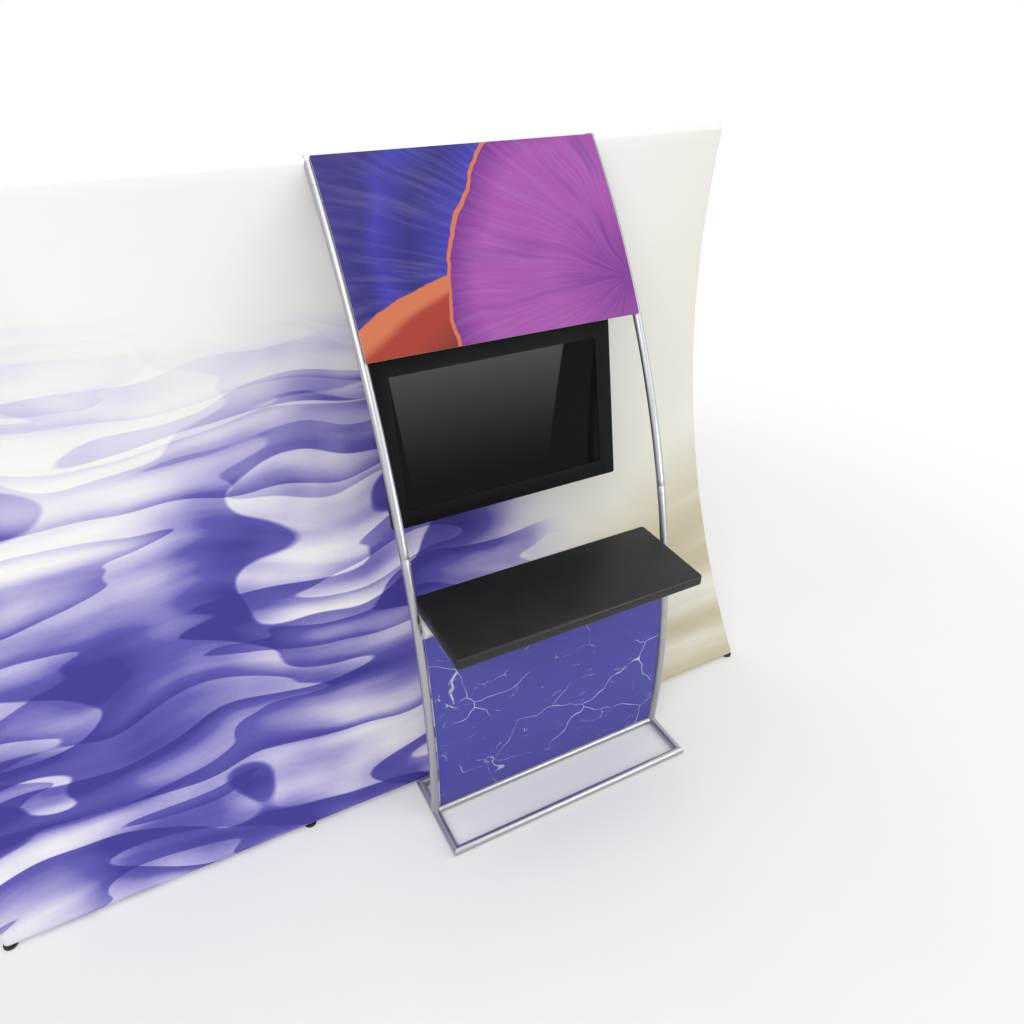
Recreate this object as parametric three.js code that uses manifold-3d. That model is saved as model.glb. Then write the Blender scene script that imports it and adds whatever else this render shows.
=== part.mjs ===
// A stretched-fabric backwall and the tube ladder that stands at its foot and hooks on its top rail.
// Millimetres. +X is to the viewer's right, +Y is away from the viewer and +Z is up.
// The origin is on the floor, under the middle of the whole object's box.
// Both arcs lie in planes of constant X. The wall's is hollow to the front, the ladder's to the back.

import * as THREE from "three";
import { mergeVertices } from "three/addons/utils/BufferGeometryUtils.js";
import Module from "manifold-3d";

// ---- Driving dimensions ----

// Round tube that everything is made of
const tubeDiameter = 30;
const tubeWall = 2;
const spigotPlay = 1; // radial play of a spigot in a tube
const spigotLength = 50;
const sleeveExtra = 10; // half sleeve of the ladder's joint, longer than a spigot
const seatGap = 0.3; // between pieces that touch
const tubeSides = 12;
const hiddenSides = 6; // of the frame inside the cover
const arcStep = 141; // length of one straight facet along an arc
const panelStep = 71; // the same for the printed panels

// Wall
const wallWidth = 3040;
const wallBend = 2966; // bending radius of the posts, on their centre line
const wallDeepest = 1752; // height where the wall stands farthest back
const wallTop = 2229; // top edge of the cover
const headReach = 8.3; // ladder's centre line in front of the top rail's, at the rail's height
const coverThickness = 1.2;
const coverPlay = 1.2; // the cover's inside stands this far off the tubes
const cornerPlug = 2; // the bores stop this far from a corner's middle
const stubLength = 35;

// Swivelling feet of the wall
const footWidth = 44;
const footLength = 512;
const footThickness = 7;
const footPinDiameter = 12;
const footPinRise = 26;
const footCorner = 12;

// Zip along the foot of the cover's back
const zipHeight = 86; // along the arc above the bottom rail
const zipWidth = 10;
const zipEnd = 76; // from the cover's end to the zip's
const zipBead = 6;
const zipSliderLength = 16;
const zipPullLength = 34;
const zipPullEye = 10; // depth of the opening that holds the slider's bail
const zipRestFromEnd = 30; // closed slider to the zip's end

// Ladder
const ladderSpacing = 1000; // between the uprights' centre lines
const ladderInset = 1086; // ladder's centre to the wall's right end
const ladderBend = 2980;
const ladderForemost = 290; // height where the uprights stand farthest forward
const ladderJoint = 1123; // height of the joint halfway up an upright
const headLength = 70; // height of an upright's end piece
const headBelowTop = 7; // its top below the wall's
const hookTail = 16; // how far the hooks reach down behind the wall
const hookWidth = 20;
const baseFrontReach = 195.5; // foot to the front bar, centre to centre
const baseBackReach = 142;
const shelfBarHeight = 850;
const headerBarHeights = [1742, 2110];

// Snap buttons of the halfway joint
const buttonDiameter = 8;
const buttonOffset = 22; // from the joint, up and down
const buttonStand = 2.5; // proud of the tube
const buttonTravel = 5;
const buttonPlay = 0.4;

// Printed panels
const headerInset = 4; // panel's side to an upright's centre line
const headerBottom = 1704;
const headerTop = 2233;
const headerStandOff = 18.5; // uprights' centre line to the panel's back
const headerThickness = 3.5;
const lowerSideGap = 5;
const lowerThickness = 3;
const lowerBottomGap = 5;
const lowerTopGap = 2;
const tabWidth = 40;
const tabHeight = 30;
const tabThickness = 3;
const tabInset = 120; // from a panel's side to a tab's middle

// Shelf
const shelfSideGap = 14; // shelf's end to an upright
const shelfDepth = 360;
const shelfThickness = 40;
const shelfTop = 931.5;
const shelfFront = -212; // front edge, from the uprights' foot
const shelfCorner = 14;
const shelfEdge = 8; // rounding of the board's edges
const bracketWidth = 14;
const bracketPlate = 5;
const bracketGusset = 46; // half the gusset's spread under the shelf
const bracketReach = 70; // arm under the shelf's end
const bracketInset = 4; // its end inside the shelf's
const bracketArm = 260;
const bracketBack = 6; // arm's middle behind the shelf's

// Monitor and its hanger
const monitorWidth = 908;
const monitorHeight = 590;
const monitorEdge = 24; // thickness at the rim
const monitorBulge = 56; // what the back's middle adds
const monitorBorder = 61; // frame around the screen
const monitorTilt = 10.35; // leaning back, degrees
const monitorFoot = { y: 338, z: 1076 }; // lower front edge, from the uprights' foot
const monitorShell = 3;
const bezelDepth = 9;
const pivotAbove = 180; // tilt pivot above the monitor's middle
const pivotBehind = 110; // and behind its face
const pivotPin = 10;
const hangerSpacing = 320;
const hangerPlate = 6;
const hangerWidth = 30;

const earPlate = 4;
const earFoot = 12; // depth of an ear where it meets the plate's foot
const mountPlate = 220;
const hookThickness = 6.5;
const knobRadius = 15;
const knobDepth = 20;
const bezelLip = 2.5;
const bulgeWidth = 640;
const bulgeHeight = 420;
const bulgeRoot = 10; // how far the bulge starts inside the rim's back
const ventCount = 12;
const ventPitch = 38;
const ventLength = 30;
const inletX = -180;
const inletZ = -120;
const inletWidth = 27;
const inletHeight = 20;
const inletDepth = 18;

// Keys in the monitor's right side
const rearButton = { wide: 4, high: 10, stand: 1 };
const rearButtonPitch = 22;
const rearButtonsHeight = 150; // above the monitor's middle

// ---- Values worked out from them ----

const tubeR = tubeDiameter / 2;
const boreR = tubeR - tubeWall;
const spigotR = boreR - spigotPlay;
const coverInnerR = tubeR + coverPlay;
const coverR = coverInnerR + coverThickness;
const wallFootHeight = footThickness + 0.5 + coverR;
const footPinTop = footThickness + footPinRise;
const postX = wallWidth / 2 - coverR;
const postPitch = (2 * postX) / 3;
const ladderX = wallWidth / 2 - ladderInset;
const uprightX = ladderSpacing / 2;
const ladderTop = wallTop - headBelowTop;
const ladderTopJoint = ladderTop - headLength;
const betweenUprights = ladderSpacing - tubeDiameter;
const headerWidth = ladderSpacing - 2 * headerInset;
const lowerWidth = betweenUprights - 2 * lowerSideGap;
const shelfWidth = betweenUprights - 2 * shelfSideGap;

// ---- Geometry helpers ----

const wasm = await Module();
wasm.setup();

// A closed three.js geometry as a solid that can be cut and joined.
function solid(geometry, matrix) {
  const bare = geometry.clone();
  bare.deleteAttribute("normal");
  bare.deleteAttribute("uv");
  if (matrix) bare.applyMatrix4(matrix);
  const merged = mergeVertices(bare, 1e-3);
  return new wasm.Manifold(
    new wasm.Mesh({
      numProp: 3,
      vertProperties: new Float32Array(merged.attributes.position.array),
      triVerts: new Uint32Array(merged.index.array),
    }),
  );
}

function geometryOf(body) {
  const mesh = body.getMesh();
  const geometry = new THREE.BufferGeometry();
  geometry.setAttribute("position", new THREE.BufferAttribute(mesh.vertProperties, 3));
  geometry.setIndex(new THREE.BufferAttribute(mesh.triVerts, 1));
  const faceted = geometry.toNonIndexed();
  faceted.computeVertexNormals();
  return faceted;
}

function join(...bodies) {
  return bodies.reduce((sum, body) => sum.add(body));
}

function cut(body, ...tools) {
  return tools.reduce((rest, tool) => rest.subtract(tool), body);
}

// Turns an outline drawn as (y, z), extruded along +Z, so that it runs along X.
const alongX = new THREE.Matrix4().makeBasis(
  new THREE.Vector3(0, 1, 0),
  new THREE.Vector3(0, 0, 1),
  new THREE.Vector3(1, 0, 0),
);

// A (y, z) shape extruded from x0 to x1.
function slabX(shape, x0, x1, curveSegments = 12) {
  const geometry = new THREE.ExtrudeGeometry(shape, {
    depth: x1 - x0,
    bevelEnabled: false,
    curveSegments,
  });
  const move = new THREE.Matrix4().makeTranslation(x0, 0, 0);
  return solid(geometry, move.multiply(alongX));
}

function box(x0, x1, y0, y1, z0, z1) {
  const geometry = new THREE.BoxGeometry(x1 - x0, y1 - y0, z1 - z0);
  geometry.translate((x0 + x1) / 2, (y0 + y1) / 2, (z0 + z1) / 2);
  return solid(geometry);
}

function ring(outer, inner) {
  const shape = new THREE.Shape();
  shape.absarc(0, 0, outer, 0, 2 * Math.PI);
  if (inner) {
    const hole = new THREE.Path();
    hole.absarc(0, 0, inner, 0, 2 * Math.PI);
    shape.holes.push(hole);
  }
  return shape;
}

// A rod, or with an inner radius a tube, along a path.
function sweep(path, steps, outer, inner = 0, sides = tubeSides) {
  return solid(
    new THREE.ExtrudeGeometry(ring(outer, inner), {
      extrudePath: path,
      steps,
      curveSegments: sides / 2,
    }),
  );
}

function straight(from, to, outer, inner = 0, sides = tubeSides) {
  return sweep(new THREE.LineCurve3(from, to), 1, outer, inner, sides);
}

const point = (x, y, z) => new THREE.Vector3(x, y, z);

function ball(centre, radius) {
  const geometry = new THREE.SphereGeometry(radius, hiddenSides, hiddenSides / 2);
  geometry.translate(centre.x, centre.y, centre.z);
  return solid(geometry);
}

// Rings of equal counts of points, joined into one closed body with flat ends.
function loft(rings) {
  const count = rings[0].length;
  const index = [];
  for (let r = 0; r + 1 < rings.length; r += 1) {
    for (let i = 0; i < count; i += 1) {
      const a = r * count + i;
      const b = r * count + ((i + 1) % count);
      index.push(a, b, b + count, a, b + count, a + count);
    }
  }
  const outline = rings[0].map((p) => new THREE.Vector2(p.y, p.z));
  const last = (rings.length - 1) * count;
  for (const [a, b, c] of THREE.ShapeUtils.triangulateShape(outline, [])) {
    index.push(c, b, a);
    index.push(last + a, last + b, last + c);
  }
  const geometry = new THREE.BufferGeometry();
  const positions = rings.flat().flatMap((p) => [p.x, p.y, p.z]);
  geometry.setAttribute("position", new THREE.Float32BufferAttribute(positions, 3));
  geometry.setIndex(index);
  return solid(geometry);
}

// An arc in a plane of constant X. Its centre lies behind it (+1) or in front of it (-1).
// An offset is measured from the arc towards the viewer.
class Bend {
  constructor(radius, centreZ, foot, side) {
    this.radius = radius;
    this.centreZ = centreZ;
    this.side = side;
    this.centreY = foot.y + side * Math.sqrt(radius ** 2 - (foot.z - centreZ) ** 2);
  }

  angle(z, offset = 0) {
    return Math.asin((z - this.centreZ) / (this.radius + this.side * offset));
  }

  at(angle, offset = 0) {
    const r = this.radius + this.side * offset;
    return {
      y: this.centreY - this.side * r * Math.cos(angle),
      z: this.centreZ + r * Math.sin(angle),
    };
  }

  y(z) {
    return this.at(this.angle(z)).y;
  }

  steps(a0, a1, step = arcStep) {
    return Math.max(1, Math.round((Math.abs(a1 - a0) * this.radius) / step));
  }

  // A rod or tube along the arc between two angles, in the plane of x.
  tube(x, a0, a1, outer, inner = 0, sides = tubeSides) {
    return sweep(new BendPath(this, x, a0, a1), this.steps(a0, a1), outer, inner, sides);
  }

  // The closed outline of a band between two offsets, as points from the arc's foot up and back.
  band(a0, a1, front, back) {
    const steps = this.steps(a0, a1, panelStep);
    const up = [];
    const down = [];
    for (let i = 0; i <= steps; i += 1) {
      const a = a0 + ((a1 - a0) * i) / steps;
      up.push(this.at(a, front));
      down.unshift(this.at(a, back));
    }
    return new THREE.Shape([...up, ...down].map((p) => new THREE.Vector2(p.y, p.z)));
  }
}

class BendPath extends THREE.Curve {
  constructor(bend, x, a0, a1) {
    super();
    Object.assign(this, { bend, x, a0, a1 });
  }

  getPoint(t, target = new THREE.Vector3()) {
    const p = this.bend.at(this.a0 + (this.a1 - this.a0) * t);
    return target.set(this.x, p.y, p.z);
  }
}

// ---- The two arcs ----

const ladderArc = new Bend(ladderBend, ladderForemost, { y: 0, z: tubeR }, 1);
const barAt = (z) => ({ y: ladderArc.y(z), z });

// The wall stands where the ladder's heads reach its top rail.
const topRail = wallTop - coverR;
const wallRise = new Bend(wallBend, wallDeepest, { y: 0, z: wallFootHeight }, -1).y(topRail);
const wallBase = { y: ladderArc.y(topRail) + headReach - wallRise, z: wallFootHeight };
const wallArc = new Bend(wallBend, wallDeepest, wallBase, -1);
const wallLow = wallArc.angle(wallFootHeight);
const wallHigh = wallArc.angle(topRail);
const wallMiddle = (wallLow + wallHigh) / 2;
const wallHead = wallArc.at(wallHigh);

// ---- Materials ----

function material(color, roughness, metalness = 0) {
  return new THREE.MeshStandardMaterial({ color, roughness, metalness });
}

const finishes = {
  cover: material(0xd9d6ea, 0.85),
  zip: material(0xe8e8ec, 0.6),
  frame: material(0xb4b6ba, 0.4, 0.8),
  ladder: material(0xc6c8cb, 0.32, 0.85),
  foot: material(0x1d1d1f, 0.5, 0.5),
  header: material(0x7a3fa6, 0.45),
  lower: material(0x4b49a2, 0.5),
  shelf: material(0x2c2c2d, 0.55),
  bracket: material(0xdadbdd, 0.4, 0.6),
  hanger: material(0x2a2a2c, 0.5, 0.5),
  monitor: material(0x151516, 0.4),
  screen: material(0x0c0c0e, 0.12),
  button: material(0xcfd0d2, 0.3, 0.9),
};

function add(group, name, body, finish) {
  const mesh = new THREE.Mesh(geometryOf(body), finish.clone());
  mesh.name = name;
  group.add(mesh);
  return mesh;
}

// ---- Wall: tube frame, cover, zip and feet ----

// The outline of everything within a distance of the wall's arc, in the plane of x.
function wallOutline(x, distance) {
  const arcs = wallArc.steps(wallLow, wallHigh);
  const round = 8;
  const front = [];
  const back = [];
  for (let i = 0; i <= arcs; i += 1) {
    const a = wallLow + ((wallHigh - wallLow) * i) / arcs;
    front.push(wallArc.at(a, distance));
    back.unshift(wallArc.at(a, -distance));
  }
  // Half turns around the ends of the arc, from one face of the wall over to the other.
  const turn = (angle, sign) =>
    Array.from({ length: round - 1 }, (_, i) => {
      const t = (Math.PI * (i + 1)) / round;
      const end = wallArc.at(angle);
      const out = { y: Math.cos(angle), z: Math.sin(angle) };
      const along = { y: -Math.sin(angle) * sign, z: Math.cos(angle) * sign };
      return {
        y: end.y + distance * (-sign * out.y * Math.cos(t) + along.y * Math.sin(t)),
        z: end.z + distance * (-sign * out.z * Math.cos(t) + along.z * Math.sin(t)),
      };
    });
  const outline = [...front, ...turn(wallHigh, 1), ...back, ...turn(wallLow, -1)];
  return outline.reverse().map((p) => point(x, p.y, p.z));
}

// The space within a distance of the tube frame: rounded all round, as stretched cloth lies.
function aroundFrame(distance) {
  const turns = [78, 45, 0].map(THREE.MathUtils.degToRad);
  const left = turns.map((t) => wallOutline(-postX - distance * Math.sin(t), distance * Math.cos(t)));
  const right = turns.map((t) => wallOutline(postX + distance * Math.sin(t), distance * Math.cos(t)));
  return loft([...left, ...right.reverse()]);
}

// A post's half: the lower one ends in a spigot, the upper one slips over it. Both have stubs for
// the rails, and the lower one a bore for the foot's pin.
function post(x, half, sides) {
  const lower = half === "lower";
  const foot = lower ? wallLow : wallMiddle + seatGap / wallBend;
  const head = lower ? wallMiddle : wallHigh;
  const end = wallArc.at(lower ? wallLow : wallHigh);
  const centre = point(x, end.y, end.z);
  const arc = (a0, a1, r) => wallArc.tube(x, a0, a1, r, 0, hiddenSides);
  const run = (to, r, from = centre) => straight(from, to, r, 0, hiddenSides);
  const plug = cornerPlug / wallBend;
  const outer = [arc(foot, head, tubeR)];
  const bores = [];
  if (lower) {
    const reach = head + spigotLength / wallBend;
    const shoulder = head - 4 / wallBend;
    outer.push(arc(shoulder, reach, spigotR));
    bores.push(arc(foot + plug, shoulder, boreR));
    bores.push(arc(shoulder - 0.001, reach + 0.001, spigotR - tubeWall));
    const from = point(x, end.y, end.z - 2 * tubeR);
    const to = point(x, end.y, footPinTop + 1);
    bores.push(straight(from, to, footPinDiameter / 2 + seatGap));
  } else {
    bores.push(arc(foot - 0.001, head - plug, boreR));
  }
  for (const side of sides) {
    const shoulder = point(x + side * stubLength, end.y, end.z);
    const tip = point(x + side * (stubLength + spigotLength), end.y, end.z);
    const beyond = point(tip.x + side, end.y, end.z);
    outer.push(run(shoulder, tubeR), run(tip, spigotR));
    const start = point(x + side * cornerPlug, end.y, end.z);
    bores.push(run(beyond, spigotR - tubeWall, start));
  }
  if (sides.length === 1) outer.push(ball(centre, tubeR - coverPlay));
  return cut(join(...outer), join(...bores));
}

function rail(x0, x1, end) {
  const inset = stubLength + seatGap;
  const from = point(x0 + inset, end.y, end.z);
  const to = point(x1 - inset, end.y, end.z);
  return straight(from, to, tubeR, boreR, hiddenSides);
}

// A frame on the cover's back: X up along its arc, Y out of it and Z to the left.
function backFace(x, alongArc, offset) {
  const angle = wallLow + alongArc / wallBend;
  const p = wallArc.at(angle, -offset);
  const up = point(0, -Math.sin(angle), Math.cos(angle));
  const out = point(0, Math.cos(angle), Math.sin(angle));
  const matrix = new THREE.Matrix4().makeBasis(up, out, point(-1, 0, 0));
  return matrix.setPosition(x, p.y, p.z);
}

// An outline drawn as (up, out) on the cover's back, run along X between x0 and x1.
function runOnBack(points, x0, x1, alongArc, offset) {
  const shape = new THREE.Shape(points.map(([up, out]) => new THREE.Vector2(up, out)));
  const geometry = new THREE.ExtrudeGeometry(shape, { depth: x1 - x0, bevelEnabled: false });
  return solid(geometry, backFace(x1, alongArc, offset));
}

function rectangle(u0, u1, v0, v1) {
  return [
    [u0, v0],
    [u1, v0],
    [u1, v1],
    [u0, v1],
  ];
}

const zipHalf = wallWidth / 2 - zipEnd;
const zipNeck = zipBead / 4;
const zipRise = 1.4;
const zipHead = 2;

function cover(postXs) {
  const slot = rectangle(-zipWidth / 2, zipWidth / 2, -4, 4);
  const mouth = runOnBack(slot, -zipHalf, zipHalf, zipHeight, coverInnerR);
  const end = wallArc.at(wallLow);
  const pinHoles = postXs.map((x) =>
    straight(
      point(x, end.y, 0),
      point(x, end.y, end.z - boreR),
      footPinDiameter / 2 + coverPlay,
    ),
  );
  return cut(aroundFrame(coverR), aroundFrame(coverInnerR), mouth, ...pinHoles);
}

function zipTape() {
  const w = zipWidth / 2 - seatGap;
  const top = coverThickness;
  const outline = [
    [-w, 0],
    [w, 0],
    [w, top],
    [zipNeck, top],
    [zipNeck, top + zipRise],
    [zipBead / 2, top + zipRise],
    [zipBead / 2, top + zipRise + zipHead],
    [-zipBead / 2, top + zipRise + zipHead],
    [-zipBead / 2, top + zipRise],
    [-zipNeck, top + zipRise],
    [-zipNeck, top],
    [-w, top],
  ];
  return runOnBack(outline, seatGap - zipHalf, zipHalf - seatGap, zipHeight, coverInnerR);
}

// The slider wraps the bead, and its bail holds the pull.
function zipSlider(x) {
  const play = 0.35;
  const lip = 0.7;
  const foot = coverThickness + play;
  const inside = zipBead / 2 + play;
  const roof = coverThickness + zipRise + zipHead + play;
  const outline = [
    [-inside - 1.6, foot],
    [-zipNeck - play, foot],
    [-zipNeck - play, foot + lip],
    [-inside, foot + lip],
    [-inside, roof],
    [inside, roof],
    [inside, foot + lip],
    [zipNeck + play, foot + lip],
    [zipNeck + play, foot],
    [inside + 1.6, foot],
    [inside + 1.6, roof + 1],
    [inside, roof + 1.8],
    [-inside, roof + 1.8],
    [-inside - 1.6, roof + 1],
  ];
  const half = zipSliderLength / 2;
  const shell = runOnBack(outline, x - half, x + half, zipHeight, coverInnerR);
  const bail = rectangle(-2.3, 2.3, roof + 1.5, roof + 5.8);
  const eye = rectangle(-1.3, 1.3, roof + 2.2, roof + 4.8);
  return cut(
    shell.add(runOnBack(bail, x - 2.8, x + 2.8, zipHeight, coverInnerR)),
    runOnBack(eye, x - 5, x + 5, zipHeight, coverInnerR),
  );
}

// The pull hangs from the bail, whose eye it passes through along X.
function zipPullAxis(x) {
  const roof = coverThickness + zipRise + zipHead + 0.35;
  const matrix = backFace(x, zipHeight, coverInnerR + roof + 3.5);
  return new THREE.Vector3().setFromMatrixPosition(matrix);
}

function zipPull(x) {
  const axis = zipPullAxis(x);
  const r = 0.8;
  const arm = 5;
  const width = 3.4;
  const parts = [straight(point(x - arm, axis.y, axis.z), point(x + arm, axis.y, axis.z), r, 0, 8)];
  for (const side of [-1, 1]) {
    const cx = x + side * (arm - width / 4);
    parts.push(box(cx - 1, cx + 1, axis.y - r, axis.y + r, axis.z - zipPullEye, axis.z + r));
  }
  const low = axis.z - zipPullLength;
  parts.push(box(x - arm + 0.2, x + arm - 0.2, axis.y - r, axis.y + r, low, axis.z - zipPullEye + 1));
  return join(...parts);
}

// A flat steel foot with a round end about its pin, which goes up into the corner of the frame.
function foot() {
  const half = footWidth / 2;
  const back = footLength - footWidth;
  const plate = new THREE.Shape();
  plate.absarc(0, 0, half, Math.PI, 2 * Math.PI);
  plate.lineTo(half, back);
  plate.absarc(half - footCorner, back, footCorner, 0, Math.PI / 2);
  plate.absarc(footCorner - half, back, footCorner, Math.PI / 2, Math.PI);
  plate.closePath();
  const geometry = new THREE.ExtrudeGeometry(plate, {
    depth: footThickness - 1.5,
    bevelThickness: 0.75,
    bevelSize: 0.75,
    bevelOffset: -0.75,
    bevelSegments: 1,
    curveSegments: 3,
  });
  geometry.translate(0, 0, 0.75);
  const profile = [
    new THREE.Vector2(0, footThickness - 2),
    new THREE.Vector2(footPinDiameter / 2, footThickness - 2),
    new THREE.Vector2(footPinDiameter / 2, footPinTop - 2),
    new THREE.Vector2(footPinDiameter / 2 - 2, footPinTop),
    new THREE.Vector2(0, footPinTop),
  ];
  const pin = new THREE.LatheGeometry(profile, tubeSides);
  pin.rotateX(Math.PI / 2);
  return solid(geometry).add(solid(pin));
}

const wall = new THREE.Group();
const postXs = [0, 1, 2, 3].map((i) => -postX + i * postPitch);
const postNames = ["left_end", "left_middle", "right_middle", "right_end"];
const bayNames = ["left", "middle", "right"];

postXs.forEach((x, i) => {
  const sides = [-1, 1].filter((side) => i + side >= 0 && i + side < postXs.length);
  for (const half of ["lower", "upper"]) {
    add(wall, `${postNames[i]}_post_${half}`, post(x, half, sides), finishes.frame);
  }
  const mesh = add(wall, `${postNames[i]}_foot`, foot(), finishes.foot);
  mesh.position.set(x, wallBase.y, 0);
});
bayNames.forEach((name, i) => {
  const bottom = rail(postXs[i], postXs[i + 1], wallBase);
  const top = rail(postXs[i], postXs[i + 1], wallHead);
  add(wall, `${name}_bottom_rail`, bottom, finishes.frame);
  add(wall, `${name}_top_rail`, top, finishes.frame);
});
const zipRest = zipHalf - zipRestFromEnd;
add(wall, "fabric_cover", cover(postXs), finishes.cover);
add(wall, "zip_chain", zipTape(), finishes.zip);
add(wall, "zip_slider", zipSlider(zipRest), finishes.zip);
add(wall, "zip_pull", zipPull(zipRest), finishes.zip);

// ---- Ladder: base, uprights, bars and joints ----

const ladder = new THREE.Group();
ladder.position.x = ladderX;

// A prism over a plan outline, tall enough to trim the base's bars.
function planPrism(points) {
  const shape = new THREE.Shape(points.map(([x, y]) => new THREE.Vector2(x, y)));
  const geometry = new THREE.ExtrudeGeometry(shape, { depth: 2 * tubeDiameter, bevelEnabled: false });
  geometry.translate(0, 0, -tubeR);
  return solid(geometry);
}

// A front or back bar of the base, mitred into the side bars.
function baseCrossBar(y, out) {
  const x = uprightX;
  const gap = seatGap / 2;
  const bar = straight(point(-x - tubeR, y, tubeR), point(x + tubeR, y, tubeR), tubeR, boreR);
  const r = tubeR + 1;
  const outline = [
    [-x - r + gap, y + out * r],
    [-x + r + gap, y - out * r],
    [x - r - gap, y - out * r],
    [x + r - gap, y + out * r],
  ];
  return bar.intersect(planPrism(out > 0 ? outline : outline.reverse()));
}

function baseSideBar(side) {
  const x = side * uprightX;
  const gap = seatGap / 2;
  const front = -baseFrontReach;
  const back = baseBackReach;
  const bar = straight(point(x, front - tubeR, tubeR), point(x, back + tubeR, tubeR), tubeR, boreR);
  const r = tubeR + 1;
  const outline = [
    [x + side * r, front - r + gap],
    [x + side * r, back + r - gap],
    [x - side * r, back - r - gap],
    [x - side * r, front + r + gap],
  ];
  return bar.intersect(planPrism(side > 0 ? outline : outline.reverse()));
}

const sideBarRod = (side) =>
  straight(
    point(side * uprightX, -baseFrontReach, tubeR),
    point(side * uprightX, baseBackReach, tubeR),
    tubeR + seatGap,
  );

const jointAngle = ladderArc.angle(ladderJoint);
const topJointAngle = ladderArc.angle(ladderTopJoint);
const topAngle = ladderArc.angle(ladderTop);
const halfSeat = seatGap / 2 / ladderBend;
const uprightSpans = {
  lower: [ladderArc.angle(1.4 * tubeR), jointAngle - halfSeat],
  upper: [jointAngle + halfSeat, topJointAngle - halfSeat],
};

// An upright as one rod, with the gap that its neighbours keep.
const uprightRod = (side) =>
  join(
    ladderArc.tube(side * uprightX, ...uprightSpans.lower, tubeR + seatGap),
    ladderArc.tube(side * uprightX, ...uprightSpans.upper, tubeR + seatGap),
  );

// A bar between the uprights, coped to them, as a rod of one radius.
function coped(body) {
  return cut(body, uprightRod(-1), uprightRod(1));
}

function crossBar(at, tabs = []) {
  const half = uprightX - tubeR / 2;
  const bar = straight(point(-half, at.y, at.z), point(half, at.y, at.z), tubeR, boreR);
  return join(coped(bar), ...tabs);
}

// Where a button passes, and the way that it is pressed: inwards, away from the other upright.
function buttonSeat(side, sign) {
  const angle = jointAngle + (sign * buttonOffset) / ladderBend;
  const p = ladderArc.at(angle);
  return point(side * uprightX, p.y, p.z);
}

function buttonHole(side, sign) {
  const seat = buttonSeat(side, sign);
  const out = seat.clone();
  out.x -= side * 2 * tubeR;
  return straight(seat, out, buttonDiameter / 2 + buttonPlay, 0, 10);
}

function upright(side, part) {
  const body = ladderArc.tube(side * uprightX, ...uprightSpans[part], tubeR, boreR);
  if (part === "upper") return cut(body, buttonHole(side, 1));
  return cut(body, sideBarRod(side), buttonHole(side, -1));
}

// The sleeve inside an upright's halfway joint.
function jointSleeve(side) {
  const reach = (spigotLength + sleeveExtra) / ladderBend;
  const path = new BendPath(ladderArc, side * uprightX, jointAngle - reach, jointAngle + reach);
  const body = sweep(path, 2, spigotR, spigotR - tubeWall);
  return cut(body, buttonHole(side, -1), buttonHole(side, 1));
}

// A domed button on a flange that catches inside the sleeve.
function snapButton() {
  const r = buttonDiameter / 2;
  const bore = spigotR - tubeWall;
  const flangeR = r + 2;
  const flangeTop = Math.sqrt((bore * 0.98) ** 2 - flangeR ** 2) - seatGap;
  const tip = tubeR + buttonStand;
  const profile = [
    new THREE.Vector2(0, flangeTop - 1.5),
    new THREE.Vector2(flangeR, flangeTop - 1.5),
    new THREE.Vector2(flangeR, flangeTop),
    new THREE.Vector2(r, flangeTop),
    new THREE.Vector2(r, tip - 1.6),
    new THREE.Vector2(r * 0.6, tip - 0.3),
    new THREE.Vector2(0, tip),
  ];
  return solid(new THREE.LatheGeometry(profile, 10));
}

// The end piece of an upright: coped against the wall's top rail, with a spigot below and a hook
// that goes over the rail and down behind it.
function uprightHead(side) {
  const x = side * uprightX;
  const start = topJointAngle + halfSeat;
  const floor = start + 4 / ladderBend;
  const reach = spigotLength / ladderBend;
  const tube = ladderArc.tube(x, start, topAngle, tubeR);
  const plug = ladderArc.tube(x, topJointAngle - reach, floor, spigotR);
  const bore = ladderArc.tube(x, floor, topAngle - 3 / ladderBend, boreR);
  const plugBore = ladderArc.tube(x, topJointAngle - reach - 0.001, floor + 0.001, spigotR - tubeWall);
  const wallRod = straight(
    point(x - 2 * tubeR, wallHead.y, wallHead.z),
    point(x + 2 * tubeR, wallHead.y, wallHead.z),
    coverR + 2 * seatGap,
    0,
    20,
  );
  const wallFace = slabX(
    wallArc.band(wallHigh - 200 / wallBend, wallHigh, coverR + 2 * seatGap, -coverR),
    x - 2 * tubeR,
    x + 2 * tubeR,
  );
  const inner = coverR + 4 * seatGap;
  const outer = inner + 3;
  const from = Math.PI * 0.93;
  const to = wallHigh;
  const hook = new THREE.Shape();
  hook.absarc(wallHead.y, wallHead.z, outer, from, to, true);
  hook.absarc(wallHead.y, wallHead.z, inner, to, from, false);
  hook.closePath();
  const strap = slabX(hook, x - hookWidth / 2, x + hookWidth / 2, 6);
  const tail = wallArc.band(wallHigh - hookTail / wallBend, wallHigh + 0.0005, -inner, -outer);
  const body = cut(join(tube, plug), bore, plugBore, wallRod, wallFace);
  return join(body, strap, slabX(tail, x - hookWidth / 2, x + hookWidth / 2));
}

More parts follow.
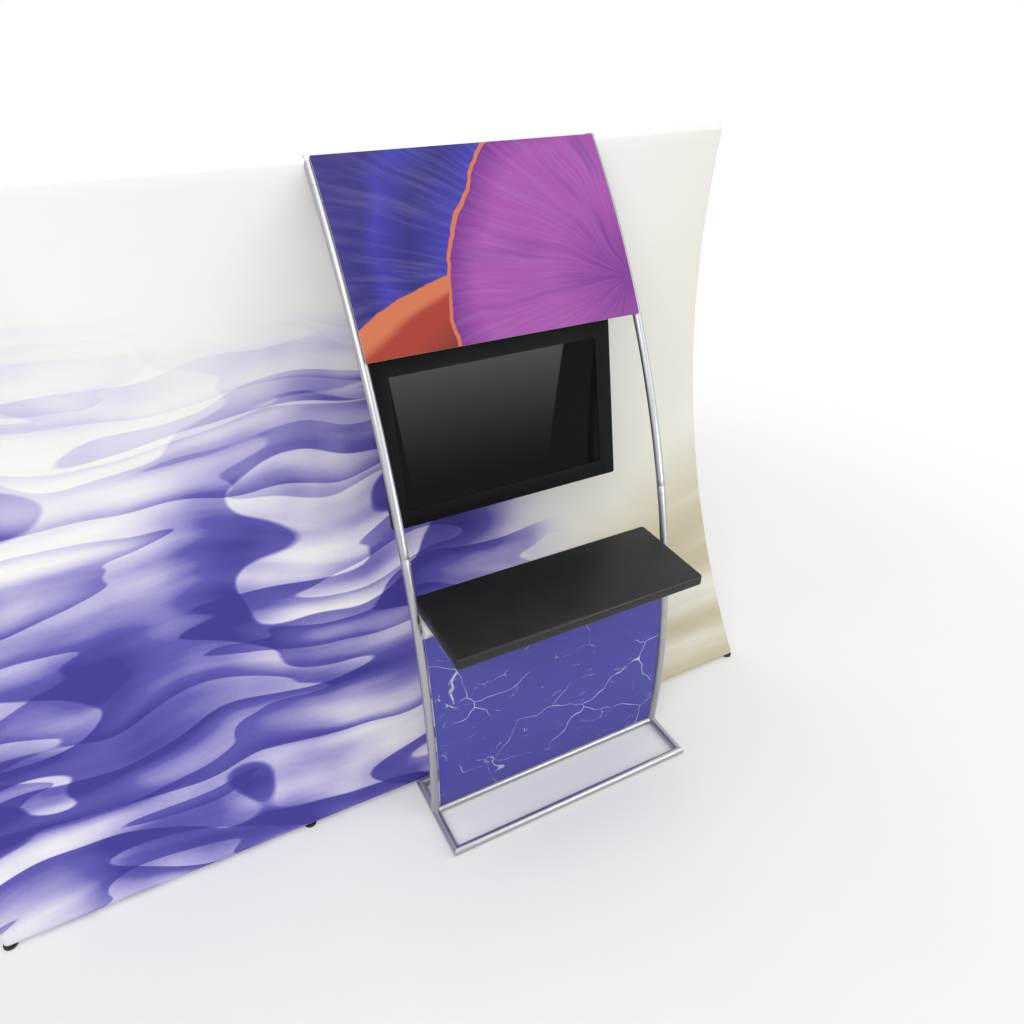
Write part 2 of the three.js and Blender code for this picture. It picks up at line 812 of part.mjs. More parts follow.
for (const [side, name] of [
  [-1, "left"],
  [1, "right"],
]) {
  add(ladder, `base_${name}_bar`, baseSideBar(side), finishes.ladder);
  add(ladder, `${name}_upright_lower`, upright(side, "lower"), finishes.ladder);
  add(ladder, `${name}_upright_upper`, upright(side, "upper"), finishes.ladder);
  add(ladder, `${name}_upright_head`, uprightHead(side), finishes.ladder);
  add(ladder, `${name}_joint_sleeve`, jointSleeve(side), finishes.frame);
  for (const [sign, place] of [
    [-1, "lower"],
    [1, "upper"],
  ]) {
    const mesh = add(ladder, `${name}_${place}_snap_button`, snapButton(), finishes.button);
    mesh.rotation.z = (side * Math.PI) / 2;
    mesh.position.copy(buttonSeat(side, sign));
  }
}
add(ladder, "base_front_bar", baseCrossBar(-baseFrontReach, -1), finishes.ladder);
add(ladder, "base_back_bar", baseCrossBar(baseBackReach, 1), finishes.ladder);

// A tab welded to a bar, in the line of the arc: from z0 to z1, between two offsets.
function tab(x, z0, z1, front, back) {
  const band = ladderArc.band(ladderArc.angle(z0), ladderArc.angle(z1), front, back);
  return slabX(band, x - tabWidth / 2, x + tabWidth / 2);
}

const mirrored = (make, x) => [-x, x].map(make);
const inBar = 2 * tubeWall - tubeR;
const lowerBehind = -seatGap;
const lowerTabX = lowerWidth / 2 - tabInset;
const headerTabX = headerWidth / 2 - tabInset;

// The foot's cross bar also meets the side bars, and its tabs stand up behind the lower panel.
const footTabs = mirrored(
  (x) => tab(x, 2 * tubeR - tubeWall, 2 * tubeR + tabHeight, lowerBehind, lowerBehind - tabThickness),
  lowerTabX,
);
const footBar = crossBar({ y: 0, z: tubeR }, footTabs);
add(ladder, "base_middle_bar", cut(footBar, sideBarRod(-1), sideBarRod(1)), finishes.ladder);

const shelfBar = barAt(shelfBarHeight);
const shelfBarFoot = shelfBarHeight - tubeR;
const shelfTabs = mirrored(
  (x) => tab(x, shelfBarFoot - tabHeight, shelfBarFoot + tubeWall, lowerBehind, lowerBehind - tabThickness),
  lowerTabX,
);
add(ladder, "shelf_bar", crossBar(shelfBar, shelfTabs), finishes.ladder);

headerBarHeights.forEach((z, i) => {
  const half = tabHeight / 2;
  const pads = mirrored((x) => tab(x, z - half, z + half, headerStandOff - seatGap, -inBar), headerTabX);
  const name = ["header_lower_bar", "header_upper_bar"][i];
  add(ladder, name, crossBar(barAt(z), pads), finishes.ladder);
});

// ---- Printed panels ----

function panel(width, z0, z1, back, thickness) {
  const front = back + thickness;
  const band = ladderArc.band(ladderArc.angle(z0, front), ladderArc.angle(z1, front), front, back);
  return slabX(band, -width / 2, width / 2);
}

const header = panel(headerWidth, headerBottom, headerTop, headerStandOff, headerThickness);
add(ladder, "header_panel", header, finishes.header);
const lowerFrom = tubeDiameter + lowerBottomGap;
const lowerTo = shelfBarFoot - lowerTopGap;
add(ladder, "lower_panel", panel(lowerWidth, lowerFrom, lowerTo, 0, lowerThickness), finishes.lower);

// ---- Shelf ----

function roundedRectangle(width, height, radius) {
  const x = width / 2 - radius;
  const y = height / 2 - radius;
  const shape = new THREE.Shape();
  shape.absarc(x, y, radius, 0, Math.PI / 2);
  shape.absarc(-x, y, radius, Math.PI / 2, Math.PI);
  shape.absarc(-x, -y, radius, Math.PI, 1.5 * Math.PI);
  shape.absarc(x, -y, radius, 1.5 * Math.PI, 2 * Math.PI);
  shape.closePath();
  return shape;
}

// A plate of a shape, with its edges rounded by a bevel, standing on Z = 0.
function plate(shape, thickness, edge, segments = 2, curveSegments = 4) {
  const geometry = new THREE.ExtrudeGeometry(shape, {
    depth: thickness - 2 * edge,
    bevelThickness: edge,
    bevelSize: edge,
    bevelOffset: -edge,
    bevelSegments: segments,
    curveSegments,
  });
  geometry.translate(0, 0, edge);
  return geometry;
}

function shelf() {
  const outline = roundedRectangle(shelfWidth, shelfDepth, shelfCorner);
  const geometry = plate(outline, shelfThickness, shelfEdge, 2, 3);
  geometry.translate(0, shelfFront + shelfDepth / 2, shelfTop - shelfThickness);
  return solid(geometry);
}

// A gusset on the shelf bar beside the shelf, joined to an arm under it.
function shelfBracket(side) {
  const top = shelfTop - shelfThickness - seatGap;
  const seat = tubeR + seatGap;
  const wall = seat + bracketPlate;
  const gusset = new THREE.Shape();
  gusset.moveTo(shelfBar.y - bracketGusset, top);
  gusset.lineTo(shelfBar.y - bracketGusset, top - bracketPlate);
  gusset.lineTo(shelfBar.y - wall, shelfBar.z + seat / 2);
  gusset.lineTo(shelfBar.y - wall, shelfBar.z);
  gusset.lineTo(shelfBar.y - seat, shelfBar.z);
  gusset.absarc(shelfBar.y, shelfBar.z, seat, Math.PI, 0, true);
  gusset.lineTo(shelfBar.y + wall, shelfBar.z);
  gusset.lineTo(shelfBar.y + wall, shelfBar.z + seat / 2);
  gusset.lineTo(shelfBar.y + bracketGusset, top - bracketPlate);
  gusset.lineTo(shelfBar.y + bracketGusset, top);
  gusset.closePath();
  const outer = uprightX - tubeR - 1;
  const inner = shelfWidth / 2 - bracketReach;
  const middle = shelfFront + shelfDepth / 2 + bracketBack;
  const ends = (a, b) => [side * a, side * b].sort((p, q) => p - q);
  const [g0, g1] = ends(outer - bracketWidth, outer);
  const [a0, a1] = ends(inner, shelfWidth / 2 - bracketInset);
  const [b0, b1] = ends(inner, outer);
  const flat = (x0, x1, y, half) => box(x0, x1, y - half, y + half, top - bracketPlate, top);
  const arm = flat(a0, a1, middle, bracketArm / 2);
  return join(slabX(gusset, g0, g1), arm, flat(b0, b1, shelfBar.y, bracketGusset));
}

add(ladder, "shelf", shelf(), finishes.shelf);
add(ladder, "left_shelf_bracket", shelfBracket(-1), finishes.bracket);
add(ladder, "right_shelf_bracket", shelfBracket(1), finishes.bracket);

// ---- Monitor, drawn about its tilt pivot: X across, Y out of its back, Z up its face ----

const tilt = THREE.MathUtils.degToRad(monitorTilt);
const pivotUp = monitorHeight / 2 + pivotAbove;
const pivot = {
  y: monitorFoot.y + pivotUp * Math.sin(tilt) + pivotBehind * Math.cos(tilt),
  z: monitorFoot.z + pivotUp * Math.cos(tilt) - pivotBehind * Math.sin(tilt),
};
const monitor = new THREE.Group();
monitor.position.set(0, pivot.y, pivot.z);
monitor.rotation.x = -tilt;
ladder.add(monitor);

// Puts a flat geometry upright, as seen from the back: its depth goes backwards from behindFace.
function backed(geometry, behindFace, x = 0, z = 0) {
  const basis = new THREE.Matrix4().makeBasis(point(-1, 0, 0), point(0, 0, 1), point(0, 1, 0));
  const move = new THREE.Matrix4().makeTranslation(x, behindFace - pivotBehind, z - pivotAbove);
  return solid(geometry, move.multiply(basis));
}

const block = (shape, depth, curveSegments = 3) =>
  new THREE.ExtrudeGeometry(shape, { depth, bevelEnabled: false, curveSegments });

const screenWidth = monitorWidth - 2 * monitorBorder;
const screenHeight = monitorHeight - 2 * monitorBorder;
const screenLap = 8; // screen behind the bezel's lip
const screenDepth = 5.5;

// A block about the monitor's middle, between two depths behind its face.
function slab(width, height, near, far) {
  const middle = -pivotAbove;
  const y = [near - pivotBehind, far - pivotBehind];
  return box(-width / 2, width / 2, ...y, middle - height / 2, middle + height / 2);
}

function bezel() {
  const frame = plate(roundedRectangle(monitorWidth, monitorHeight, 8), bezelDepth, 1, 1, 3);
  const opening = slab(screenWidth, screenHeight, -1, bezelDepth + 1);
  const lap = 2 * screenLap;
  const pocket = slab(screenWidth + lap, screenHeight + lap, bezelLip, bezelDepth + 1);
  return cut(backed(frame, 0), opening, pocket);
}

function screen() {
  const lap = 2 * (screenLap - seatGap);
  const near = bezelLip + seatGap;
  return slab(screenWidth + lap, screenHeight + lap, near, near + screenDepth);
}

// The back's outside, or with an inset its hollow: a rim and a bulge with sloping sides.
function backForm(inset, front) {
  const w = monitorWidth - 2 * inset;
  const h = monitorHeight - 2 * inset;
  const rim = block(roundedRectangle(w, h, 8 - inset), monitorEdge - inset - front);
  const slope = monitorBulge;
  const corner = slope + 6 - inset;
  const bulgeShape = roundedRectangle(bulgeWidth - 2 * inset, bulgeHeight - 2 * inset, corner);
  const bulge = new THREE.ExtrudeGeometry(bulgeShape, {
    depth: bulgeRoot,
    bevelThickness: slope,
    bevelSize: slope,
    bevelOffset: -slope,
    bevelSegments: 1,
    curveSegments: 3,
  });
  bulge.translate(0, 0, -bulgeRoot);
  return join(backed(rim, front), backed(bulge, monitorEdge - inset));
}

const buttonZs = [-1, 0, 1].map((i) => rearButtonsHeight + i * rearButtonPitch);
const buttonY = (bezelDepth + monitorEdge) / 2;

// Where something sits in the monitor, measured from its face and its middle.
const inMonitor = (x, behindFace, z) => point(x, behindFace - pivotBehind, z - pivotAbove);

function monitorBack() {
  const front = bezelDepth + seatGap;
  const outer = backForm(0, front);
  const inner = backForm(monitorShell, front - 1);
  const deep = monitorEdge + monitorBulge;
  const vents = [];
  for (let i = 0; i < ventCount; i += 1) {
    const x = (i - (ventCount - 1) / 2) * ventPitch;
    const c = inMonitor(x, monitorEdge, (bulgeHeight + monitorHeight) / 4);
    vents.push(box(c.x - 2, c.x + 2, c.y - 8, c.y + 8, c.z - ventLength / 2, c.z + ventLength / 2));
  }
  const keys = buttonZs.map((z) => {
    const c = inMonitor(monitorWidth / 2, buttonY, z);
    const w = rearButton.wide / 2 + seatGap + 0.1;
    const h = rearButton.high / 2 + seatGap + 0.1;
    return box(c.x - 8, c.x + 8, c.y - w, c.y + w, c.z - h, c.z + h);
  });
  const c = inMonitor(inletX, deep, inletZ);
  const w = inletWidth / 2 + seatGap;
  const h = inletHeight / 2 + seatGap;
  const inlet = box(c.x - w, c.x + w, c.y - inletDepth, c.y + inletDepth, c.z - h, c.z + h);
  return cut(outer, inner, inlet, ...vents, ...keys);
}

// A key of the side row: a cap through the shell on a flange behind it.
function sideKey() {
  const w = rearButton.wide / 2;
  const h = rearButton.high / 2;
  const shell = monitorWidth / 2 - monitorShell - seatGap;
  const tip = monitorWidth / 2 + rearButton.stand;
  const cap = box(shell - 2, tip, -w, w, -h, h);
  return cap.add(box(shell - 2.5, shell, -w - 2, w + 2, -h - 2, h + 2));
}

// A three-pin mains inlet, open to the back.
function powerInlet() {
  const deep = monitorEdge + monitorBulge;
  const c = inMonitor(inletX, deep, inletZ);
  const w = inletWidth / 2;
  const h = inletHeight / 2;
  const deepest = c.y - inletDepth;
  const shell = box(c.x - w, c.x + w, deepest, c.y + 0.6, c.z - h, c.z + h);
  const well = box(c.x - w + 2, c.x + w - 2, deepest + 2, c.y + 5, c.z - h + 2, c.z + h - 2);
  const pins = [-1, 0, 1].map((i) => {
    const z = c.z + (i === 0 ? 2 : -2);
    const x = c.x + i * 7;
    return box(x - 1, x + 1, deepest + 1, c.y - 4, z - 2, z + 2);
  });
  return join(cut(shell, well), ...pins);
}

const hangerX = hangerSpacing / 2;
const earOuter = hangerX - hangerPlate / 2 - 2 * seatGap;
const frameGap = pivotBehind - monitorEdge - monitorBulge - seatGap; // pivot to the plate's front

// A plate on the monitor's back with two ears that carry the tilt pins.
function tiltFrame() {
  const middle = -pivotAbove;
  const high = mountPlate / 2;
  const front = -frameGap;
  const parts = [box(-earOuter, earOuter, front, front + earPlate, middle - high, middle + high)];
  for (const side of [-1, 1]) {
    const ear = new THREE.Shape();
    ear.absarc(0, 0, hangerWidth / 2, 0, Math.PI / 2);
    ear.lineTo(front, hangerWidth / 2);
    ear.lineTo(front, middle - high);
    ear.lineTo(front + earFoot, middle - high);
    ear.lineTo(hangerWidth / 2, -hangerWidth);
    ear.closePath();
    const [x0, x1] = [side * (earOuter - earPlate), side * earOuter].sort((a, b) => a - b);
    parts.push(slabX(ear, x0, x1));
    const tip = side * (hangerX + hangerPlate / 2 + knobDepth - 4);
    parts.push(straight(point(side * (earOuter - 1), 0, 0), point(tip, 0, 0), pivotPin / 2));
  }
  return join(...parts);
}

// A star knob on the end of a tilt pin.
function tiltKnob(side) {
  const lobes = 6;
  const points = [];
  for (let i = 0; i < lobes * 4; i += 1) {
    const a = (2 * Math.PI * i) / (lobes * 4);
    const r = knobRadius * (1 + 0.1 * Math.cos(lobes * a));
    points.push(new THREE.Vector2(r * Math.cos(a), r * Math.sin(a)));
  }
  const geometry = plate(new THREE.Shape(points), knobDepth, 1.2, 1);
  const body = solid(geometry);
  const bore = straight(point(0, 0, -1), point(0, 0, knobDepth - 3.2), pivotPin / 2 + seatGap);
  const matrix = side > 0 ? alongX : new THREE.Matrix4().makeRotationZ(Math.PI).multiply(alongX);
  const start = hangerX + hangerPlate / 2 + 2 * seatGap;
  const placed = new THREE.Matrix4().makeTranslation(side * start, 0, 0).multiply(matrix);
  return solid(geometryOf(cut(body, bore)), placed);
}

// One steel plate: a leg from the tilt pin up to a hook on the upper bar, braced to the lower bar.
function hangerArm(side) {
  const x0 = side * hangerX - hangerPlate / 2;
  const x1 = x0 + hangerPlate;
  const half = hangerWidth / 2;
  const seat = tubeR + seatGap;
  const grip = seat + hookThickness;
  const [low, high] = headerBarHeights.map(barAt);
  const disc = (c, r) => {
    const shape = new THREE.Shape();
    shape.absarc(c.y, c.z, r, 0, 2 * Math.PI);
    return slabX(shape, x0, x1, 7);
  };
  const strip = (from, to, r) => {
    const along = new THREE.Vector2(to.y - from.y, to.z - from.z).normalize();
    const shape = new THREE.Shape([
      new THREE.Vector2(from.y - along.y * r, from.z + along.x * r),
      new THREE.Vector2(from.y + along.y * r, from.z - along.x * r),
      new THREE.Vector2(to.y + along.y * r, to.z - along.x * r),
      new THREE.Vector2(to.y - along.y * r, to.z + along.x * r),
    ]);
    return slabX(shape, x0, x1);
  };
  const hook = (c) => {
    const from = THREE.MathUtils.degToRad(-60);
    const to = THREE.MathUtils.degToRad(105);
    const shape = new THREE.Shape();
    shape.absarc(c.y, c.z, grip, from, to);
    shape.absarc(c.y, c.z, seat, to, from, true);
    shape.closePath();
    return slabX(shape, x0, x1, 5);
  };
  const head = { y: high.y + grip + half / 2, z: high.z };
  const alongLeg = (z) => ({
    y: pivot.y + ((head.y - pivot.y) * (z - pivot.z)) / (head.z - pivot.z),
    z,
  });
  const joined = join(
    disc(pivot, half),
    strip(pivot, head, half),
    strip({ y: high.y + grip - hookThickness / 2, z: high.z }, head, hookThickness * 1.5),
    hook(high),
    strip({ y: low.y + grip - hookThickness / 2, z: low.z }, alongLeg(low.z), hookThickness * 1.5),
    hook(low),
  );
  return cut(joined, disc(pivot, pivotPin / 2 + seatGap), disc(high, seat), disc(low, seat));
}

add(monitor, "monitor_bezel", bezel(), finishes.monitor);
add(monitor, "monitor_screen", screen(), finishes.screen);
add(monitor, "monitor_back", monitorBack(), finishes.monitor);
add(monitor, "power_inlet", powerInlet(), finishes.monitor);
add(monitor, "tilt_frame", tiltFrame(), finishes.hanger);
["volume_down_key", "volume_up_key", "power_key"].forEach((name, i) => {
  const mesh = add(monitor, name, sideKey(), finishes.monitor);
  mesh.position.copy(inMonitor(0, buttonY, buttonZs[i]));
});
for (const [side, name] of [
  [-1, "left"],
  [1, "right"],
]) {
  add(monitor, `${name}_tilt_knob`, tiltKnob(side), finishes.monitor);
  add(ladder, `${name}_hanger_arm`, hangerArm(side), finishes.hanger);
}

// ---- The whole object, moved so that its box stands over the origin ----

const foremost = Math.min(shelfFront, -baseFrontReach - tubeR);
const rearmost = wallArc.centreY + wallBend + coverR;
const display = new THREE.Group();
display.position.y = -(foremost + rearmost) / 2;
display.add(wall, ladder);

export default display;
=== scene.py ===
import math

import bmesh
import bpy
from mathutils import Matrix, Vector


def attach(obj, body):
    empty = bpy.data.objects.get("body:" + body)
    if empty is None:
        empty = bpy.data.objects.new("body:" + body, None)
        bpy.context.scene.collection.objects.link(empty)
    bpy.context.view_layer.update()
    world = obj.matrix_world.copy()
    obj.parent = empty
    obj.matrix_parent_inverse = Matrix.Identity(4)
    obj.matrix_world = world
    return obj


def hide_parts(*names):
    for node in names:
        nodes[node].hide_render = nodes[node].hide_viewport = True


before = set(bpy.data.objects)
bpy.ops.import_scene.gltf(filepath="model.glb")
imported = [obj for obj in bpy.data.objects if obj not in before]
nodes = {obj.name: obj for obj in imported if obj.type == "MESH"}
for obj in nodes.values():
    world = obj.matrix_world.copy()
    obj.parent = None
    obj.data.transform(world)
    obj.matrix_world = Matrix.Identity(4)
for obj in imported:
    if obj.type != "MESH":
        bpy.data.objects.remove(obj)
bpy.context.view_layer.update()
scene = bpy.context.scene
rootBody = "backwall_and_ladder"
print("frame loaded,", len(nodes), "nodes")


# camera, lamps and floor

cameraPlan = {
    "place": (-0.7408, -2.1811, 2.6298),
    "turn": (57.661, 0.0, -27.713),
    "lens": 28.568,
}


def makeCamera(plan):
    data = bpy.data.cameras.new("photoCamera")
    data.lens = plan["lens"]
    data.sensor_width = 36.0
    data.sensor_fit = "HORIZONTAL"
    data.clip_start = 0.05
    data.clip_end = 200.0
    camera = bpy.data.objects.new("photoCamera", data)
    camera.location = plan["place"]
    camera.rotation_euler = [math.radians(v) for v in plan["turn"]]
    scene.collection.objects.link(camera)
    scene.camera = camera
    return camera


lampPlan = {
    "key": {"place": (-2.6, -3.4, 4.6), "aim": (0.1, 0.0, 1.1), "size": 3.2, "power": 106},
    "fill": {"place": (3.8, -3.0, 3.0), "aim": (0.3, 0.0, 1.0), "size": 3.0, "power": 44},
    "top": {"place": (0.2, -0.6, 5.6), "aim": (0.2, -0.2, 0.0), "size": 4.0, "power": 62},
    "back": {"place": (0.5, 4.0, 4.2), "aim": (0.0, 0.2, 1.2), "size": 3.0, "power": 46},
}
roomPlan = {
    "shade": 0.56, "shown": 1.0, "floorReach": 60.0, "fadeFrom": 1.5, "fadeTo": 4.6,
    "floorTones": ("#f0f0ef", "#f4f4f3"), "floorGrain": 1.4, "floorRough": 0.6, "floorShine": 0.2,
}


def aimed(place, aim):
    look = Vector(aim) - Vector(place)
    return look.to_track_quat("-Z", "Y").to_euler()


def makeLamps(plan):
    for name, lamp in plan.items():
        data = bpy.data.lights.new(name + "Lamp", "AREA")
        data.shape = "SQUARE"
        data.size = lamp["size"]
        data.energy = lamp["power"]
        obj = bpy.data.objects.new(name + "Lamp", data)
        obj.location = lamp["place"]
        obj.rotation_euler = aimed(lamp["place"], lamp["aim"])
        scene.collection.objects.link(obj)


# small helpers for node trees

def hexColour(text):
    parts = [int(text[i:i + 2], 16) / 255 for i in (1, 3, 5)]
    return tuple(p / 12.92 if p <= 0.04045 else ((p + 0.055) / 1.055) ** 2.4 for p in parts) + (1.0,)


def put(tree, kind, feeds=None, **settings):
    node = tree.nodes.new(kind)
    for key, value in settings.items():
        setattr(node, key, value)
    for key, value in (feeds or {}).items():
        if isinstance(value, bpy.types.NodeSocket):
            tree.links.new(value, node.inputs[key])
        else:
            node.inputs[key].default_value = value
    return node


def wire(tree, shader, feeds):
    for key, value in feeds.items():
        tree.links.new(value, shader.inputs[key])


def calc(tree, operation, a, b=0.0, clamp=False):
    return put(tree, "ShaderNodeMath", {0: a, 1: b}, operation=operation, use_clamp=clamp).outputs[0]


def plus(tree, a, b, clamp=False):
    return calc(tree, "ADD", a, b, clamp)


def minus(tree, a, b):
    return calc(tree, "SUBTRACT", a, b)


def times(tree, a, b):
    return calc(tree, "MULTIPLY", a, b)


# a noise value about its middle, times an amount
def swing(tree, value, amount):
    return times(tree, minus(tree, value, 0.5), amount)


def vectorCalc(tree, operation, a, b=None, output="Vector"):
    feeds = {0: a} if b is None else {0: a, "Scale" if operation == "SCALE" else 1: b}
    return put(tree, "ShaderNodeVectorMath", feeds, operation=operation).outputs[output]


def parted(tree, vector):
    return put(tree, "ShaderNodeSeparateXYZ", {0: vector}).outputs


def gathered(tree, *parts):
    return put(tree, "ShaderNodeCombineXYZ", dict(enumerate(parts))).outputs[0]


def smoothStep(tree, value, low, high, toLow=0.0, toHigh=1.0):
    feeds = {"Value": value, "From Min": low, "From Max": high, "To Min": toLow, "To Max": toHigh}
    return put(tree, "ShaderNodeMapRange", feeds, interpolation_type="SMOOTHSTEP").outputs[0]


def mixColour(tree, factor, a, b, blend="MIX"):
    node = put(tree, "ShaderNodeMix", {0: factor, 6: a, 7: b}, data_type="RGBA", blend_type=blend)
    return node.outputs[2]


def ramp(tree, factor, stops, ease="EASE"):
    node = put(tree, "ShaderNodeValToRGB", {"Fac": factor})
    node.color_ramp.interpolation = ease
    marks = node.color_ramp.elements
    while len(marks) < len(stops):
        marks.new(0.5)
    for mark, (place, colour) in zip(marks, stops):
        mark.position = place
        mark.color = hexColour(colour)
    return node.outputs["Color"]


def noise(tree, vector, scale, detail=3.0, rough=0.5, distortion=0.0, output="Fac"):
    feeds = {"Vector": vector, "Scale": scale, "Detail": detail, "Roughness": rough, "Distortion": distortion}
    return put(tree, "ShaderNodeTexNoise", feeds).outputs[output]


def stretched(tree, vector, scale=(1, 1, 1), turn=(0, 0, 0), shift=(0, 0, 0)):
    feeds = {"Vector": vector, "Scale": scale, "Location": shift,
             "Rotation": [math.radians(v) for v in turn]}
    return put(tree, "ShaderNodeMapping", feeds).outputs[0]


def bump(tree, height, depth, strength=1.0, below=None):
    feeds = {"Height": height, "Distance": depth, "Strength": strength}
    if below is not None:
        feeds["Normal"] = below
    return put(tree, "ShaderNodeBump", feeds).outputs[0]


def newFinish(name, **sockets):
    finish = bpy.data.materials.new(name)
    finish.use_nodes = True
    tree = finish.node_tree
    shader = tree.nodes["Principled BSDF"]
    for key, value in sockets.items():
        shader.inputs[key.replace("_", " ")].default_value = value
    return finish, tree, shader


def objectPlace(tree):
    return put(tree, "ShaderNodeTexCoord").outputs["Object"]


def clothPlace(tree):
    return put(tree, "ShaderNodeUVMap", uv_map="UVMap").outputs[0]


# finishes

tubeLook = {
    "drawing": (1500, 1500, 9), "drawingShare": 0.22, "drawingTone": "#9a9da2", "drawingDepth": 0.00004,
    "cloud": 9.0, "rub": (60, 60, 14), "rubFrom": 0.35, "rubTo": 0.7, "smoother": 0.05, "rougher": 0.07,
}


# drawn metal: fine lines along the tube, clouding, and wear
def tubeFinish(name, tone, dark, rough):
    look = tubeLook
    finish, tree, shader = newFinish(name, Metallic=1.0, IOR=1.5)
    around = put(tree, "ShaderNodeAttribute", attribute_name="tubeRound")
    along = put(tree, "ShaderNodeAttribute", attribute_name="tubeRun")
    split = parted(tree, around.outputs["Vector"])
    place = gathered(tree, split[0], split[1], along.outputs["Fac"])
    drawn = noise(tree, stretched(tree, place, look["drawing"]), 1.0, 4, 0.6)
    cloud = noise(tree, place, look["cloud"], 4, 0.55)
    rub = noise(tree, stretched(tree, place, look["rub"]), 1.0, 6, 0.7)
    tint = mixColour(tree, cloud, hexColour(dark), hexColour(tone))
    tint = mixColour(tree, times(tree, drawn, look["drawingShare"]), tint, hexColour(look["drawingTone"]))
    wire(tree, shader, {
        "Base Color": tint,
        "Roughness": smoothStep(tree, rub, look["rubFrom"], look["rubTo"], rough - look["smoother"],
                                rough + look["rougher"]),
        "Normal": bump(tree, drawn, look["drawingDepth"], 0.5),
    })
    return finish


coatLook = {"fineness": 3.3, "fineShare": 0.4, "cloud": 7.0, "smoother": 0.04, "rougher": 0.05}


# paint, plastic and rubber: a grain with a finer one in it, and clouding
def coatedFinish(name, tone, dark, rough, grain, depth, metal=0.0, level=0.5):
    look = coatLook
    finish, tree, shader = newFinish(name, Metallic=metal)
    shader.inputs["Specular IOR Level"].default_value = level
    place = objectPlace(tree)
    peel = noise(tree, place, grain, 3, 0.55)
    fine = noise(tree, place, grain * look["fineness"], 2, 0.5)
    cloud = noise(tree, place, look["cloud"], 4, 0.6)
    wire(tree, shader, {
        "Base Color": mixColour(tree, cloud, hexColour(dark), hexColour(tone)),
        "Roughness": smoothStep(tree, cloud, 0.3, 0.7, rough - look["smoother"], rough + look["rougher"]),
        "Normal": bump(tree, plus(tree, peel, times(tree, fine, look["fineShare"])), depth, 0.6),
    })
    return finish


clothLook = {
    "sheen": 0.08, "specular": 0.3, "lint": 900.0, "lintShade": 0.05, "darkest": 0.955, "sag": (2.2, 1.1, 1),
    "sagDepth": 0.004, "knitDepth": 0.00012, "smoothest": 0.78, "roughest": 0.9, "knitPitch": 0.0013,
    "tapePitch": 0.0009,
}


def weaveHeight(tree, place, pitch):
    turns = 2 * math.pi / pitch
    warp, weft = (calc(tree, "SINE", times(tree, parted(tree, place)[axis], turns)) for axis in (0, 1))
    return calc(tree, "MULTIPLY_ADD", times(tree, warp, weft), 0.5)


def clothShading(tree, shader, place, tint, pitch):
    look = clothLook
    shader.inputs["Sheen Weight"].default_value = look["sheen"]
    shader.inputs["Specular IOR Level"].default_value = look["specular"]
    knit = weaveHeight(tree, place, pitch)
    lint = noise(tree, place, look["lint"], 2, 0.6)
    sag = bump(tree, noise(tree, stretched(tree, place, look["sag"]), 1.0, 2, 0.4), look["sagDepth"], 0.5)
    shade = calc(tree, "MULTIPLY_ADD", lint, look["lintShade"])
    shade.node.inputs[2].default_value = look["darkest"]
    wire(tree, shader, {
        "Base Color": mixColour(tree, 1.0, tint, gathered(tree, shade, shade, shade), "MULTIPLY"),
        "Roughness": smoothStep(tree, lint, 0.2, 0.8, look["smoothest"], look["roughest"]),
        "Normal": bump(tree, plus(tree, knit, lint), look["knitDepth"], 0.5, sag),
    })


coverInks = {
    "white": "#f6f5f2", "mist": "#dcd9ec", "lilac": "#a5a1d4", "violet": "#625cb2", "deep": "#413b93",
    "cream": "#f1eee1", "sand": "#c9c0a2",
}


# a place pushed about by slow noise, so that what is drawn on it flows
def pushedPlace(tree, place, scale, amount):
    bend = noise(tree, place, scale, 2, 0.5, 0.0, "Color")
    centred = vectorCalc(tree, "SUBTRACT", bend, (0.5, 0.5, 0.5))
    return vectorCalc(tree, "ADD", place, vectorCalc(tree, "SCALE", centred, amount))


# overlapping veils: each darkens slowly up to a sharp edge
def veils(tree, place, plan):
    seen = stretched(tree, place, plan["scale"], (0, 0, plan["turn"]), plan["shift"])
    saw = calc(tree, "FRACT", times(tree, noise(tree, seen, 1.0, 2, 0.4, 0.2), plan["count"]))
    rise = calc(tree, "POWER", smoothStep(tree, saw, 0.05, 0.95), plan["power"])
    edge = smoothStep(tree, saw, 0.955, 0.985, 1.0, 0.0)
    return times(tree, times(tree, rise, edge), plan["weight"])


coverVeils = [
    {"scale": (0.4, 1.5, 1.0), "turn": 34, "shift": (0.9, 0.4, 0), "count": 7, "power": 2.2, "weight": 0.55},
    {"scale": (0.45, 2.8, 1.0), "turn": 16, "shift": (2.7, 1.4, 0), "count": 6, "power": 2.6, "weight": 0.42},
    {"scale": (0.6, 4.4, 1.0), "turn": 40, "shift": (5.1, 3.2, 0), "count": 5, "power": 3.0, "weight": 0.3},
]


coverLook = {
    "push": (0.8, 0.6), "fine": (1.6, 14.0, 1.0), "fineTurn": 24, "fineShare": 0.3, "grain": 60.0,
    "grainShare": 0.08, "pool": 1.1, "poolWeight": 0.42, "poolSwing": 0.9, "top": 1.5, "fall": 0.74,
    "rightFrom": 0.42, "rightFall": 2.4, "fadeHeight": 0.85, "creamShare": 0.7, "creamLean": 0.35,
    "sandLean": -0.16, "sandHigh": 0.86, "sandLow": 0.4, "sandLeft": 0.55, "sandRight": 0.95,
    "drift": (0.5, 5.0, 1.0), "driftTurn": -14,
}


